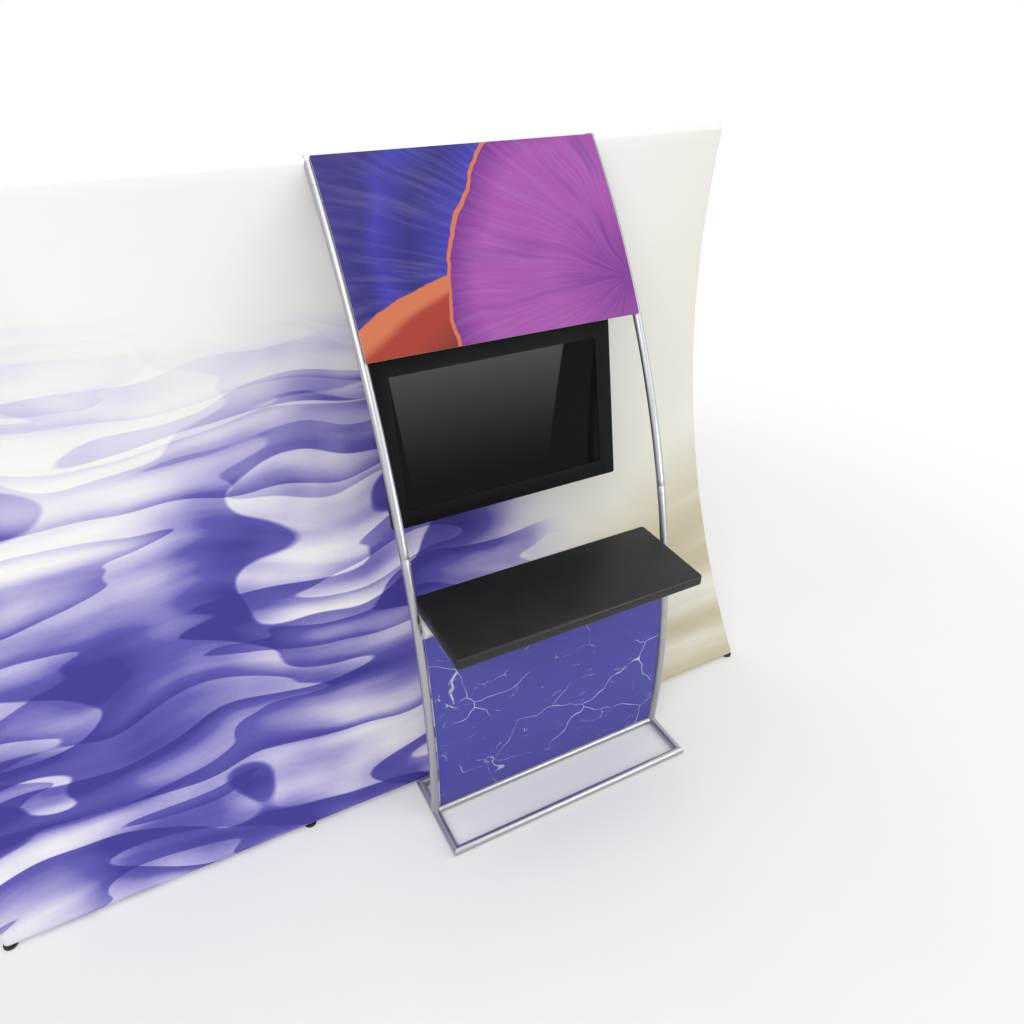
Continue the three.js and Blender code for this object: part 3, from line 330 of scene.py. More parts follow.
# waves of violet that fade upwards and to the right, into cream and sand
def coverPrint():
    finish, tree, shader = newFinish("coverPrint")
    place = clothPlace(tree)
    ink, look = coverInks, coverLook
    warped = pushedPlace(tree, place, *look["push"])
    across, height = parted(tree, warped)[0:2]
    fine = noise(tree, stretched(tree, warped, look["fine"], (0, 0, look["fineTurn"])), 1.0, 4, 0.55)
    grain = noise(tree, place, look["grain"], 5, 0.7)
    pool = noise(tree, place, look["pool"], 3, 0.5)
    reach = minus(tree, look["top"], times(tree, height, look["fall"]))
    past = calc(tree, "MAXIMUM", minus(tree, across, look["rightFrom"]), 0.0)
    reach = minus(tree, reach, times(tree, past, look["rightFall"]))
    reach = plus(tree, reach, swing(tree, pool, look["poolSwing"]), True)
    wash = times(tree, smoothStep(tree, pool, 0.4, 0.68), look["poolWeight"])
    for plan in coverVeils:
        wash = plus(tree, wash, veils(tree, warped, plan))
    wash = plus(tree, wash, swing(tree, fine, look["fineShare"]))
    wash = plus(tree, wash, swing(tree, grain, look["grainShare"]))
    wash = times(tree, wash, smoothStep(tree, reach, 0.0, look["fadeHeight"]))
    tint = ramp(tree, wash, [(0.0, ink["white"]), (0.16, ink["mist"]), (0.38, ink["lilac"]),
                             (0.64, ink["violet"]), (1.0, ink["deep"])], "LINEAR")
    rightSide = smoothStep(tree, minus(tree, across, times(tree, height, look["creamLean"])), 0.1, 1.0)
    creamy = times(tree, rightSide, look["creamShare"])
    tint = mixColour(tree, creamy, tint, hexColour(ink["cream"]), "MULTIPLY")
    slant = plus(tree, height, times(tree, across, look["sandLean"]))
    sand = times(tree, smoothStep(tree, slant, look["sandHigh"], look["sandLow"]),
                 smoothStep(tree, across, look["sandLeft"], look["sandRight"]))
    drift = noise(tree, stretched(tree, warped, look["drift"], (0, 0, look["driftTurn"])), 1.0, 3, 0.5)
    sand = times(tree, sand, smoothStep(tree, drift, 0.25, 0.6))
    tint = mixColour(tree, sand, tint, hexColour(ink["sand"]))
    clothShading(tree, shader, place, tint, clothLook["knitPitch"])
    return finish


def plainCloth(name, tone, dark, pitch):
    finish, tree, shader = newFinish(name)
    place = clothPlace(tree)
    tint = mixColour(tree, noise(tree, place, 3.0, 4, 0.6), hexColour(dark), hexColour(tone))
    clothShading(tree, shader, place, tint, pitch)
    return finish


headerInks = {
    "night": "#1c146c", "blue": "#2f2b98", "orange": "#c06a48", "rose": "#97469a", "plum": "#6d1a80",
    "red": "#98301f", "maroon": "#5c1620",
}


headerLook = {
    "push": (1.7, 0.2), "centre": (0.5, -0.2, 0.0), "fibres": 34.0, "fibreRun": 3.0,
    "broad": (0.16, 0.5, 1.0), "wobble": 0.05, "glow": "#b6a7d8", "glowShare": 0.12, "darkShare": 0.35,
    "edge": 0.672, "edgeHalf": 0.008,
    "petalEnd": 0.68, "petalBend": 0.55, "petalRise": 0.17, "petalWobble": 0.02, "specular": 0.35,
}


# two petals: rings about a point below the right corner, and one that comes out from under them
def headerPrint():
    finish, tree, shader = newFinish("headerPrint")
    ink, look = headerInks, headerLook
    shader.inputs["Specular IOR Level"].default_value = look["specular"]
    place = clothPlace(tree)
    fromCentre = vectorCalc(tree, "SUBTRACT", pushedPlace(tree, place, *look["push"]), look["centre"])
    flat = vectorCalc(tree, "MULTIPLY", fromCentre, (1.0, 1.0, 0.0))
    away = vectorCalc(tree, "LENGTH", flat, output="Value")
    spread = parted(tree, flat)
    angle = calc(tree, "ARCTAN2", spread[1], times(tree, spread[0], -1.0))
    rays = gathered(tree, times(tree, angle, look["fibres"]), times(tree, away, look["fibreRun"]))
    fibre = noise(tree, rays, 1.0, 4, 0.6)
    broad = noise(tree, stretched(tree, rays, look["broad"]), 1.0, 2, 0.5)
    band = plus(tree, away, swing(tree, broad, look["wobble"]))
    tint = ramp(tree, band, [(0.0, ink["plum"]), (0.3, ink["rose"]), (0.56, ink["rose"]),
                             (0.665, ink["plum"]), (0.68, ink["blue"]), (0.8, ink["night"]),
                             (0.9, ink["blue"]), (0.95, ink["night"])], "LINEAR")
    glow = times(tree, smoothStep(tree, fibre, 0.4, 0.75), look["glowShare"])
    tint = mixColour(tree, glow, tint, hexColour(look["glow"]))
    dark = times(tree, smoothStep(tree, broad, 0.5, 0.3), look["darkShare"])
    tint = mixColour(tree, dark, tint, hexColour(ink["night"]))
    bend = times(tree, minus(tree, band, look["petalEnd"]), look["petalBend"])
    side = plus(tree, minus(tree, angle, look["petalRise"]), bend)
    side = plus(tree, side, swing(tree, fibre, look["petalWobble"]))
    rim = smoothStep(tree, side, -0.11, -0.06)
    reds = mixColour(tree, rim, hexColour(ink["red"]), hexColour(ink["orange"]))
    reds = mixColour(tree, smoothStep(tree, side, -0.16, -0.4), reds, hexColour(ink["maroon"]))
    outside = smoothStep(tree, band, look["edge"] - 0.004, look["edge"])
    second = times(tree, smoothStep(tree, side, 0.004, -0.004), outside)
    tint = mixColour(tree, second, tint, reds)
    line = calc(tree, "ABSOLUTE", minus(tree, band, look["edge"]))
    line = smoothStep(tree, line, look["edgeHalf"], look["edgeHalf"] - 0.003)
    wire(tree, shader, {
        "Base Color": mixColour(tree, line, tint, hexColour(ink["orange"])),
        "Roughness": smoothStep(tree, fibre, 0.2, 0.8, 0.42, 0.55),
        "Normal": bump(tree, noise(tree, place, 700.0, 3, 0.6), 0.00006, 0.5),
    })
    return finish


lowerLook = {
    "push": (6.0, 0.12), "tones": ("#423d9e", "#5051a6"), "line": "#d5d4ee", "chalk": 260.0, "specular": 0.35,
    "aspect": (1.0, 1.7, 1.0),
    "nets": [
        {"scale": 2.6, "width": 0.0035, "from": 0.44, "to": 0.56, "turn": 25},
        {"scale": 8.0, "width": 0.008, "from": 0.55, "to": 0.62, "turn": -20},
    ],
}


# a net of chalk lines, broken here and there
def lowerPrint():
    finish, tree, shader = newFinish("lowerPrint")
    look = lowerLook
    shader.inputs["Specular IOR Level"].default_value = look["specular"]
    place = clothPlace(tree)
    warped = pushedPlace(tree, place, *look["push"])
    tone = mixColour(tree, noise(tree, place, 2.6, 3, 0.5), *map(hexColour, look["tones"]))
    lines = []
    for net in look["nets"]:
        seen = stretched(tree, warped, look["aspect"], (0, 0, net["turn"]))
        edge = put(tree, "ShaderNodeTexVoronoi", {"Vector": seen, "Scale": net["scale"]},
                   feature="DISTANCE_TO_EDGE")
        drawn = smoothStep(tree, edge.outputs["Distance"], net["width"] * 0.4, net["width"] * 1.6, 1.0, 0.0)
        gap = smoothStep(tree, noise(tree, place, net["scale"] * 1.3, 4, 0.6), net["from"], net["to"])
        lines.append(times(tree, drawn, gap))
    chalk = noise(tree, place, look["chalk"], 3, 0.7)
    line = times(tree, calc(tree, "MAXIMUM", *lines), smoothStep(tree, chalk, 0.3, 0.6, 0.35, 0.95))
    wire(tree, shader, {
        "Base Color": mixColour(tree, line, tone, hexColour(look["line"])),
        "Roughness": smoothStep(tree, chalk, 0.2, 0.8, 0.45, 0.56),
        "Normal": bump(tree, chalk, 0.00006, 0.5),
    })
    return finish


glassLook = {
    "tones": ("#121213", "#151516"), "specular": 0.055, "smear": (5, 5, 9), "clean": 0.012, "smeared": 0.03,
}


def glassFinish():
    finish, tree, shader = newFinish("screenGlass", IOR=1.5)
    look = glassLook
    shader.inputs["Specular IOR Level"].default_value = look["specular"]
    place = objectPlace(tree)
    smear = noise(tree, stretched(tree, place, look["smear"]), 1.0, 6, 0.65)
    wire(tree, shader, {
        "Base Color": mixColour(tree, noise(tree, place, 3.0, 2, 0.5), *map(hexColour, look["tones"])),
        "Roughness": smoothStep(tree, smear, 0.35, 0.7, look["clean"], look["smeared"]),
    })
    return finish


finishes = {
    "ladder": tubeFinish("ladderTube", "#b9babd", "#adaeb2", 0.38),
    "wallTube": tubeFinish("wallTube", "#acaeb2", "#a0a3a8", 0.42),
    "cover": coverPrint(),
    "coverBack": plainCloth("coverBack", "#f4f3ef", "#ebeae6", clothLook["knitPitch"]),
    "zipTape": plainCloth("zipTape", "#ececea", "#dddcd9", clothLook["tapePitch"]),
    "header": headerPrint(),
    "lower": lowerPrint(),
    "panelBack": coatedFinish("panelBack", "#e2e2e0", "#d6d6d4", 0.55, 500, 0.00008),
    "shelf": coatedFinish("shelfLaminate", "#161617", "#111112", 0.42, 620, 0.00011, 0.0, 0.35),
    "shelfEdge": coatedFinish("shelfEdge", "#1e1e1f", "#171718", 0.36, 900, 0.00006, 0.0, 0.35),
    "bracket": coatedFinish("bracketPaint", "#dcdddf", "#cfd0d2", 0.34, 520, 0.0001),
    "black": coatedFinish("blackPowder", "#1b1b1c", "#121213", 0.5, 760, 0.00016),
    "case": coatedFinish("monitorCase", "#0f0f10", "#0a0a0b", 0.5, 1500, 0.00008, 0.0, 0.25),
    "bezel": coatedFinish("monitorBezel", "#0d0d0e", "#0a0a0b", 0.5, 1800, 0.00003, 0.0, 0.11),
    "key": coatedFinish("monitorKey", "#1a1a1b", "#131314", 0.38, 1500, 0.00005),
    "knob": coatedFinish("knobPlastic", "#1c1c1d", "#131314", 0.48, 900, 0.00014),
    "steel": coatedFinish("platedSteel", "#c9cbce", "#aeb1b5", 0.26, 260, 0.00003, 1.0),
    "nylon": coatedFinish("zipNylon", "#e9e9e6", "#dadad6", 0.38, 1200, 0.00003),
    "thread": coatedFinish("seamThread", "#f0efeb", "#e0dfda", 0.75, 2500, 0.00005),
    "glass": glassFinish(),
}
print("finishes made:", len(finishes))


# meshes

def shownObject(name, data):
    obj = bpy.data.objects.new(name, data)
    scene.collection.objects.link(obj)
    return obj


def meshPiece(name, points, faces, finish=None, edges=()):
    mesh = bpy.data.meshes.new(name)
    mesh.from_pydata([tuple(p) for p in points], edges, faces)
    mesh.update()
    if finish is not None:
        mesh.materials.append(finish)
    return shownObject(name, mesh)


# the mesh that a bmesh holds, as an object with these finishes
def fromWork(name, work, finishList):
    mesh = bpy.data.meshes.new(name)
    work.to_mesh(mesh)
    work.free()
    for finish in finishList:
        mesh.materials.append(finish)
    return shownObject(name, mesh)


def settle(obj):
    graph = bpy.context.evaluated_depsgraph_get()
    made = obj.evaluated_get(graph)
    mesh = bpy.data.meshes.new_from_object(made, preserve_all_data_layers=True, depsgraph=graph)
    obj.modifiers.clear()
    obj.data = mesh
    return obj


def rounded(obj, width, segments=2, limit=40):
    mod = obj.modifiers.new("edge", "BEVEL")
    mod.width = width
    mod.segments = segments
    mod.limit_method = "ANGLE"
    mod.angle_limit = math.radians(limit)
    mod.use_clamp_overlap = True
    mod.harden_normals = False
    return settle(obj)


def joined(name, parts):
    whole = bmesh.new()
    finishList = []
    for part in parts:
        own = list(part.data.materials)
        start = len(whole.faces)
        whole.from_mesh(part.data)
        whole.faces.ensure_lookup_table()
        for face in whole.faces[start:]:
            m = own[face.material_index] if own else None
            if m not in finishList:
                finishList.append(m)
            face.material_index = finishList.index(m)
    for part in parts:
        bpy.data.objects.remove(part)
    return fromWork(name, whole, finishList)


def setPiece(obj, body, stands=(), sharp=35):
    obj.data.shade_smooth()
    obj.data.set_sharp_from_angle(angle=math.radians(sharp))
    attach(obj, body)
    if stands:
        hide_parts(*stands)
    return obj


def copyOf(node, name, finish, edge=0.0005, segments=2):
    mesh = nodes[node].data.copy()
    obj = shownObject(name, mesh)
    work = bmesh.new()
    work.from_mesh(mesh)
    bmesh.ops.remove_doubles(work, verts=work.verts, dist=2e-6)
    bmesh.ops.dissolve_limit(work, angle_limit=math.radians(1.0), verts=work.verts, edges=work.edges)
    work.to_mesh(mesh)
    work.free()
    mesh.materials.clear()
    mesh.materials.append(finish)
    if edge:
        rounded(obj, edge, segments, 35)
    return obj


# points on an arc in a plane, both ends counted
def arcPoints(centre, radius, start, stop, steps):
    angles = [start + (stop - start) * i / steps for i in range(steps + 1)]
    return [(centre[0] + radius * math.cos(a), centre[1] + radius * math.sin(a)) for a in angles]


# points round a circle, the last not repeated
def circlePoints(centre, radius, count):
    return arcPoints(centre, radius, 0.0, 2 * math.pi, count)[:-1]


def roundedRing(width, height, corner, steps=6):
    ring = []
    for k, (sx, sy) in enumerate([(1, 1), (-1, 1), (-1, -1), (1, -1)]):
        centre = (sx * (width / 2 - corner), sy * (height / 2 - corner))
        ring += arcPoints(centre, corner, math.pi / 2 * k, math.pi / 2 * (k + 1), steps)
    return ring


def loft(name, rings, finish, capStart=True, capEnd=True):
    count = len(rings[0])
    points = [p for ring in rings for p in ring]
    faces = []
    for r in range(len(rings) - 1):
        for i in range(count):
            j = (i + 1) % count
            faces.append((r * count + i, r * count + j, (r + 1) * count + j, (r + 1) * count + i))
    if capStart:
        faces.append(tuple(reversed(range(count))))
    if capEnd:
        faces.append(tuple(range((len(rings) - 1) * count, len(rings) * count)))
    return meshPiece(name, points, faces, finish)


def outward(obj):
    work = bmesh.new()
    work.from_mesh(obj.data)
    bmesh.ops.remove_doubles(work, verts=work.verts, dist=1e-6)
    bmesh.ops.recalc_face_normals(work, faces=work.faces)
    work.to_mesh(obj.data)
    work.free()
    return obj


# the two arcs, as the source has them

arcPlan = {
    "ladderFootY": -0.2695617, "wallBehind": 0.179, "wallRadius": 2.966, "wallDeepest": 1.752,
    "wallFoot": 0.0249, "wallTop": 2.2116, "ladderRadius": 2.980, "ladderForemost": 0.290,
    "tube": 0.015, "postReach": 1.5026, "ladderX": 0.434, "ladderSpacing": 1.0,
}


def makeArc(radius, centreZ, footY, footZ, side):
    centreY = footY + side * math.sqrt(radius ** 2 - (footZ - centreZ) ** 2)
    return {"radius": radius, "centreY": centreY, "centreZ": centreZ, "side": side}


def onArc(arc, angle, offset=0.0):
    r = arc["radius"] + arc["side"] * offset
    return arc["centreY"] - arc["side"] * r * math.cos(angle), arc["centreZ"] + r * math.sin(angle)


def angleAt(arc, z, offset=0.0):
    return math.asin((z - arc["centreZ"]) / (arc["radius"] + arc["side"] * offset))


tubeR = arcPlan["tube"]
ladderY = arcPlan["ladderFootY"]
wallArc = makeArc(arcPlan["wallRadius"], arcPlan["wallDeepest"], ladderY + arcPlan["wallBehind"],
                  arcPlan["wallFoot"], -1)
ladderArc = makeArc(arcPlan["ladderRadius"], arcPlan["ladderForemost"], ladderY, tubeR, 1)
wallLow = angleAt(wallArc, arcPlan["wallFoot"])
wallHigh = angleAt(wallArc, arcPlan["wallTop"])
ladderX = arcPlan["ladderX"]
inwards = {"left": 1, "right": -1}
uprightX = {"left": ladderX - arcPlan["ladderSpacing"] / 2, "right": ladderX + arcPlan["ladderSpacing"] / 2}


# geometry node trees

def startTree(name, sockets):
    tree = bpy.data.node_groups.new(name, "GeometryNodeTree")
    for label, kind, value in sockets:
        socket = tree.interface.new_socket(label, in_out="INPUT", socket_type="NodeSocket" + kind)
        if value is not None:
            socket.default_value = value
    tree.interface.new_socket("Geometry", in_out="OUTPUT", socket_type="NodeSocketGeometry")
    return tree, put(tree, "NodeGroupInput").outputs, put(tree, "NodeGroupOutput")


def endTree(tree, geometry, finish, out):
    real = put(tree, "GeometryNodeRealizeInstances", {"Geometry": geometry})
    done = put(tree, "GeometryNodeSetMaterial", {"Geometry": real.outputs[0], "Material": finish})
    tree.links.new(done.outputs[0], out.inputs[0])


def grow(obj, tree, values):
    mod = obj.modifiers.new("grow", "NODES")
    mod.node_group = tree
    for item in tree.interface.items_tree:
        if item.item_type == "SOCKET" and item.in_out == "INPUT" and item.name in values:
            mod[item.identifier] = values[item.name]
    return settle(obj)


# a tube swept along an arc in a plane of constant X
def bentTubeTree():
    tree, given, out = startTree("bentTube", [
        ("Place X", "Float", 0.0), ("Bend Radius", "Float", 3.0), ("Centre Y", "Float", 0.0),
        ("Centre Z", "Float", 0.0), ("Side", "Float", 1.0), ("From Angle", "Float", 0.0),
        ("To Angle", "Float", 0.5), ("Tube Radius", "Float", 0.015), ("Facets", "Int", 40),
        ("Sides", "Int", 32), ("Finish", "Material", None)])
    ends = [put(tree, "ShaderNodeCombineXYZ", {2: given[label]}).outputs[0]
            for label in ("From Angle", "To Angle")]
    line = put(tree, "GeometryNodeMeshLine", {"Count": given["Facets"], "Start Location": ends[0],
                                              "Offset": ends[1]}, mode="END_POINTS")
    angle = parted(tree, put(tree, "GeometryNodeInputPosition").outputs[0])[2]
    reach = times(tree, given["Bend Radius"], given["Side"])
    y = minus(tree, given["Centre Y"], times(tree, reach, calc(tree, "COSINE", angle)))
    z = plus(tree, given["Centre Z"], times(tree, given["Bend Radius"], calc(tree, "SINE", angle)))
    bent = put(tree, "GeometryNodeSetPosition", {"Geometry": line.outputs[0],
                                                 "Position": gathered(tree, given["Place X"], y, z)})
    path = put(tree, "GeometryNodeMeshToCurve", {"Mesh": bent.outputs[0]})
    run = put(tree, "GeometryNodeSplineParameter").outputs["Length"]
    marked = put(tree, "GeometryNodeStoreNamedAttribute",
                 {"Geometry": path.outputs[0], "Name": "tubeRun", "Value": run},
                 data_type="FLOAT", domain="POINT")
    circle = put(tree, "GeometryNodeCurvePrimitiveCircle",
                 {"Resolution": given["Sides"], "Radius": given["Tube Radius"]})
    around = put(tree, "GeometryNodeInputPosition").outputs[0]
    ring = put(tree, "GeometryNodeStoreNamedAttribute",
               {"Geometry": circle.outputs[0], "Name": "tubeRound", "Value": around},
               data_type="FLOAT_VECTOR", domain="POINT")
    swept = put(tree, "GeometryNodeCurveToMesh",
                {"Curve": marked.outputs[0], "Profile Curve": ring.outputs[0], "Fill Caps": True})
    endTree(tree, swept.outputs[0], given["Finish"], out)
    return tree


# small seeds set out along a path: stitches, or a zip's teeth
def alongTree():
    tree, given, out = startTree("alongPath", [
        ("Geometry", "Geometry", None), ("Pitch", "Float", 0.003), ("Length", "Float", 0.002),
        ("Width", "Float", 0.001), ("Height", "Float", 0.001), ("Lean", "Float", 0.0),
        ("Finish", "Material", None)])
    path = put(tree, "GeometryNodeMeshToCurve", {"Mesh": given["Geometry"]})
    spaced = put(tree, "GeometryNodeResampleCurve", {"Curve": path.outputs[0], "Length": given["Pitch"]},
                 mode="LENGTH")
    tangent = put(tree, "GeometryNodeInputTangent").outputs[0]
    facing = put(tree, "FunctionNodeAlignRotationToVector", {"Vector": tangent}, axis="X", pivot_axis="AUTO")
    turned = put(tree, "FunctionNodeRotateRotation",
                 {"Rotation": facing.outputs[0], "Rotate By": gathered(tree, given["Lean"])},
                 rotation_space="LOCAL")
    seed = put(tree, "GeometryNodeMeshUVSphere", {"Segments": 6, "Rings": 4, "Radius": 0.5})
    size = gathered(tree, given["Length"], given["Width"], given["Height"])
    sized = put(tree, "GeometryNodeTransform", {"Geometry": seed.outputs[0], "Scale": size})
    many = put(tree, "GeometryNodeInstanceOnPoints",
               {"Points": spaced.outputs[0], "Instance": sized.outputs[0], "Rotation": turned.outputs[0]})
    endTree(tree, many.outputs[0], given["Finish"], out)
    return tree


screwPlan = {"corners": 24, "body": 1.2, "crown": 0.4, "crownShare": 0.82, "socketDepth": -0.7}


# a domed screw head with a socket, at each point, along the point's facing
def screwTree():
    plan = screwPlan
    tree, given, out = startTree("screwHeads", [
        ("Geometry", "Geometry", None), ("Head Radius", "Float", 0.004), ("Head Height", "Float", 0.002),
        ("Socket Share", "Float", 0.5), ("Finish", "Material", None)])

    def rise(share):
        return put(tree, "ShaderNodeCombineXYZ", {2: times(tree, given["Head Height"], share)}).outputs[0]

    def pushedOut(mesh, top, feeds):
        return put(tree, "GeometryNodeExtrudeMesh",
                   {"Mesh": mesh, "Selection": top, "Individual": False, **feeds}, mode="FACES").outputs

    def shrunk(mesh, top, share):
        return put(tree, "GeometryNodeScaleElements", {"Geometry": mesh, "Selection": top, "Scale": share},
                   domain="FACE").outputs[0]

    body = put(tree, "GeometryNodeMeshCylinder",
               {"Vertices": plan["corners"], "Radius": given["Head Radius"],
                "Depth": times(tree, given["Head Height"], plan["body"])}).outputs
    dome = pushedOut(body[0], body["Top"], {"Offset": rise(plan["crown"])})
    rim = pushedOut(shrunk(dome[0], dome["Top"], plan["crownShare"]), dome["Top"], {"Offset Scale": 0.0})
    socket = pushedOut(shrunk(rim[0], rim["Top"], given["Socket Share"]), rim["Top"],
                       {"Offset": rise(plan["socketDepth"])})
    facing = put(tree, "GeometryNodeInputNamedAttribute", {"Name": "facing"}, data_type="FLOAT_VECTOR")
    turn = put(tree, "FunctionNodeAlignRotationToVector", {"Vector": facing.outputs[0]},
               axis="Z", pivot_axis="AUTO")
    many = put(tree, "GeometryNodeInstanceOnPoints",
               {"Points": given["Geometry"], "Instance": socket[0], "Rotation": turn.outputs[0]})
    endTree(tree, many.outputs[0], given["Finish"], out)
    return tree


trees = {"tube": bentTubeTree(), "along": alongTree(), "screw": screwTree()}


def bentTube(name, arc, x, fromAngle, toAngle, radius, finish, step=0.02, sides=32):
    obj = meshPiece(name, [(0, 0, 0)], [])
    facets = max(3, int(abs(toAngle - fromAngle) * arc["radius"] / step))
    return grow(obj, trees["tube"], {
        "Place X": x, "Bend Radius": arc["radius"], "Centre Y": arc["centreY"], "Centre Z": arc["centreZ"],
        "Side": float(arc["side"]), "From Angle": fromAngle, "To Angle": toAngle, "Tube Radius": radius,
        "Facets": facets, "Sides": sides, "Finish": finish})


def alongPath(name, points, plan, lean, finish):
    obj = meshPiece(name, points, [], edges=[(i, i + 1) for i in range(len(points) - 1)])
    return grow(obj, trees["along"], {
        "Pitch": plan["pitch"], "Length": plan["length"], "Width": plan["width"], "Height": plan["height"],
        "Lean": lean, "Finish": finish})


def screwHeads(name, spots, radius, height, finish, share=0.5):
    obj = meshPiece(name, [s for s, _ in spots], [])
    facing = obj.data.attributes.new("facing", "FLOAT_VECTOR", "POINT")
    facing.data.foreach_set("vector", [v for _, d in spots for v in Vector(d).normalized()])
    return grow(obj, trees["screw"], {"Head Radius": radius, "Head Height": height, "Socket Share": share,
                                      "Finish": finish})


# what tubeFinish reads: the run along the tube and the place round it
def markTube(obj, runs, rounds):
    for label, kind, field, values in [("tubeRun", "FLOAT", "value", runs),
                                       ("tubeRound", "FLOAT_VECTOR", "vector", rounds)]:
        obj.data.attributes.new(label, kind, "POINT").data.foreach_set(field, values)
    return obj


# startCut and endCut give, for a place on the tube's skin, how far its end is moved along it
def straightTube(name, start, end, radius, finish, startCut=None, endCut=None, sides=40,
                 chamfer=0.0005, steps=1):
    start, end = Vector(start), Vector(end)
    axis = (end - start).normalized()
    length = (end - start).length
    up = Vector((0, 0, 1)) if abs(axis.z) < 0.9 else Vector((0, 1, 0))
    across = axis.cross(up).normalized()
    up = across.cross(axis)
    zero = lambda offset: 0.0
    startCut, endCut = startCut or zero, endCut or zero
    stations = [(0.0, startCut, radius - chamfer), (chamfer, startCut, radius)]
    stations += [(length * i / steps, zero, radius) for i in range(1, steps)]
    stations += [(length - chamfer, endCut, radius), (length, endCut, radius - chamfer)]
    rings, runs, rounds = [], [], []
    for along, cut, r in stations:
        ring = []
        for a, b in circlePoints((0, 0), r, sides):
            offset = across * a + up * b
            shift = along + cut(offset)
            ring.append(start + offset + axis * shift)
            runs.append(shift)
            rounds += [a, b, 0.0]
        rings.append(ring)
    return markTube(loft(name, rings, finish), runs, rounds)


def prism(name, outline, x0, x1, finish, edge=0.0005):
    rings = [[(x, y, z) for y, z in outline] for x in (x0, x1)]
    obj = outward(loft(name, rings, finish))
    return rounded(obj, edge) if edge else obj


print("helpers ready")


# wall: the tube frame inside the cover

framePlan = {
    "stub": 0.035, "spigot": 0.05, "spigotRadius": 0.012, "sides": 28, "spigotSides": 24,
    "spigotChamfer": 0.001, "railGap": 0.0003, "jointGap": 0.0001,
}
postPlaces = {
    "left_end": -arcPlan["postReach"], "left_middle": -arcPlan["postReach"] / 3,
    "right_middle": arcPlan["postReach"] / 3, "right_end": arcPlan["postReach"],
}


def wallPost(name, x, stubs):
    plan = framePlan
    middle = (wallLow + wallHigh) / 2
    metal = finishes["wallTube"]
    thin, sides, thinSides = plan["spigotRadius"], plan["sides"], plan["spigotSides"]
    for half, a0, a1, end in [("lower", wallLow, middle, wallLow),
                              ("upper", middle + plan["jointGap"], wallHigh, wallHigh)]:
        y, z = onArc(wallArc, end)
        parts = [bentTube("part", wallArc, x, a0, a1, tubeR, metal, 0.04, sides)]
        if half == "lower":
            inside = middle + plan["spigot"] / wallArc["radius"]
            parts.append(bentTube("part", wallArc, x, middle - 0.001, inside, thin, metal, 0.02, thinSides))
        for side in stubs:
            shoulder = (x + side * plan["stub"], y, z)
            tip = (shoulder[0] + side * plan["spigot"], y, z)
            parts.append(straightTube("part", (x, y, z), shoulder, tubeR, metal, sides=sides))
            parts.append(straightTube("part", shoulder, tip, thin, metal, sides=thinSides,
                                      chamfer=plan["spigotChamfer"]))
        setPiece(joined(f"{name}Post{half.title()}", parts), rootBody, [f"{name}_post_{half}"])


def wallRails():
    plan = framePlan
    inset = plan["stub"] + plan["railGap"]
    ends = list(postPlaces.values())
    for i, bay in enumerate(["left", "middle", "right"]):
        for level, end in [("bottom", wallLow), ("top", wallHigh)]:
            y, z = onArc(wallArc, end)
            rail = straightTube(f"{bay}{level.title()}Rail", (ends[i] + inset, y, z),
                                (ends[i + 1] - inset, y, z), tubeR, finishes["wallTube"],
                                sides=plan["sides"], steps=6)
            setPiece(rail, rootBody, [f"{bay}_{level}_rail"])


for index, (postName, postX) in enumerate(postPlaces.items()):
    wallPost(postName, postX, [side for side in (-1, 1) if 0 <= index + side <= 3])
wallRails()
print("wall frame done")


# wall: the stretched cover, as one sheet sewn into a bag, open where the zip is

coverPlan = {
    "standOff": 0.0174, "columns": 76, "rows": 60, "turn": 8, "corner": 6, "thickness": 0.0006,
    "zipUp": 0.086, "zipHalfWidth": 0.005, "zipReach": 1.4437, "flatWidth": 3.094, "flatLength": 4.56,
    "columnGap": 0.012, "rowGap": 0.004, "backPrintStart": -3.0,
}


# even steps from low to high, with the exact values put in and their near neighbours left out
def stepsWith(low, high, count, exact, gap):
    even = [low + (high - low) * i / count for i in range(count + 1)]
    return sorted(set([v for v in even if min(abs(v - e) for e in exact) > gap] + exact))


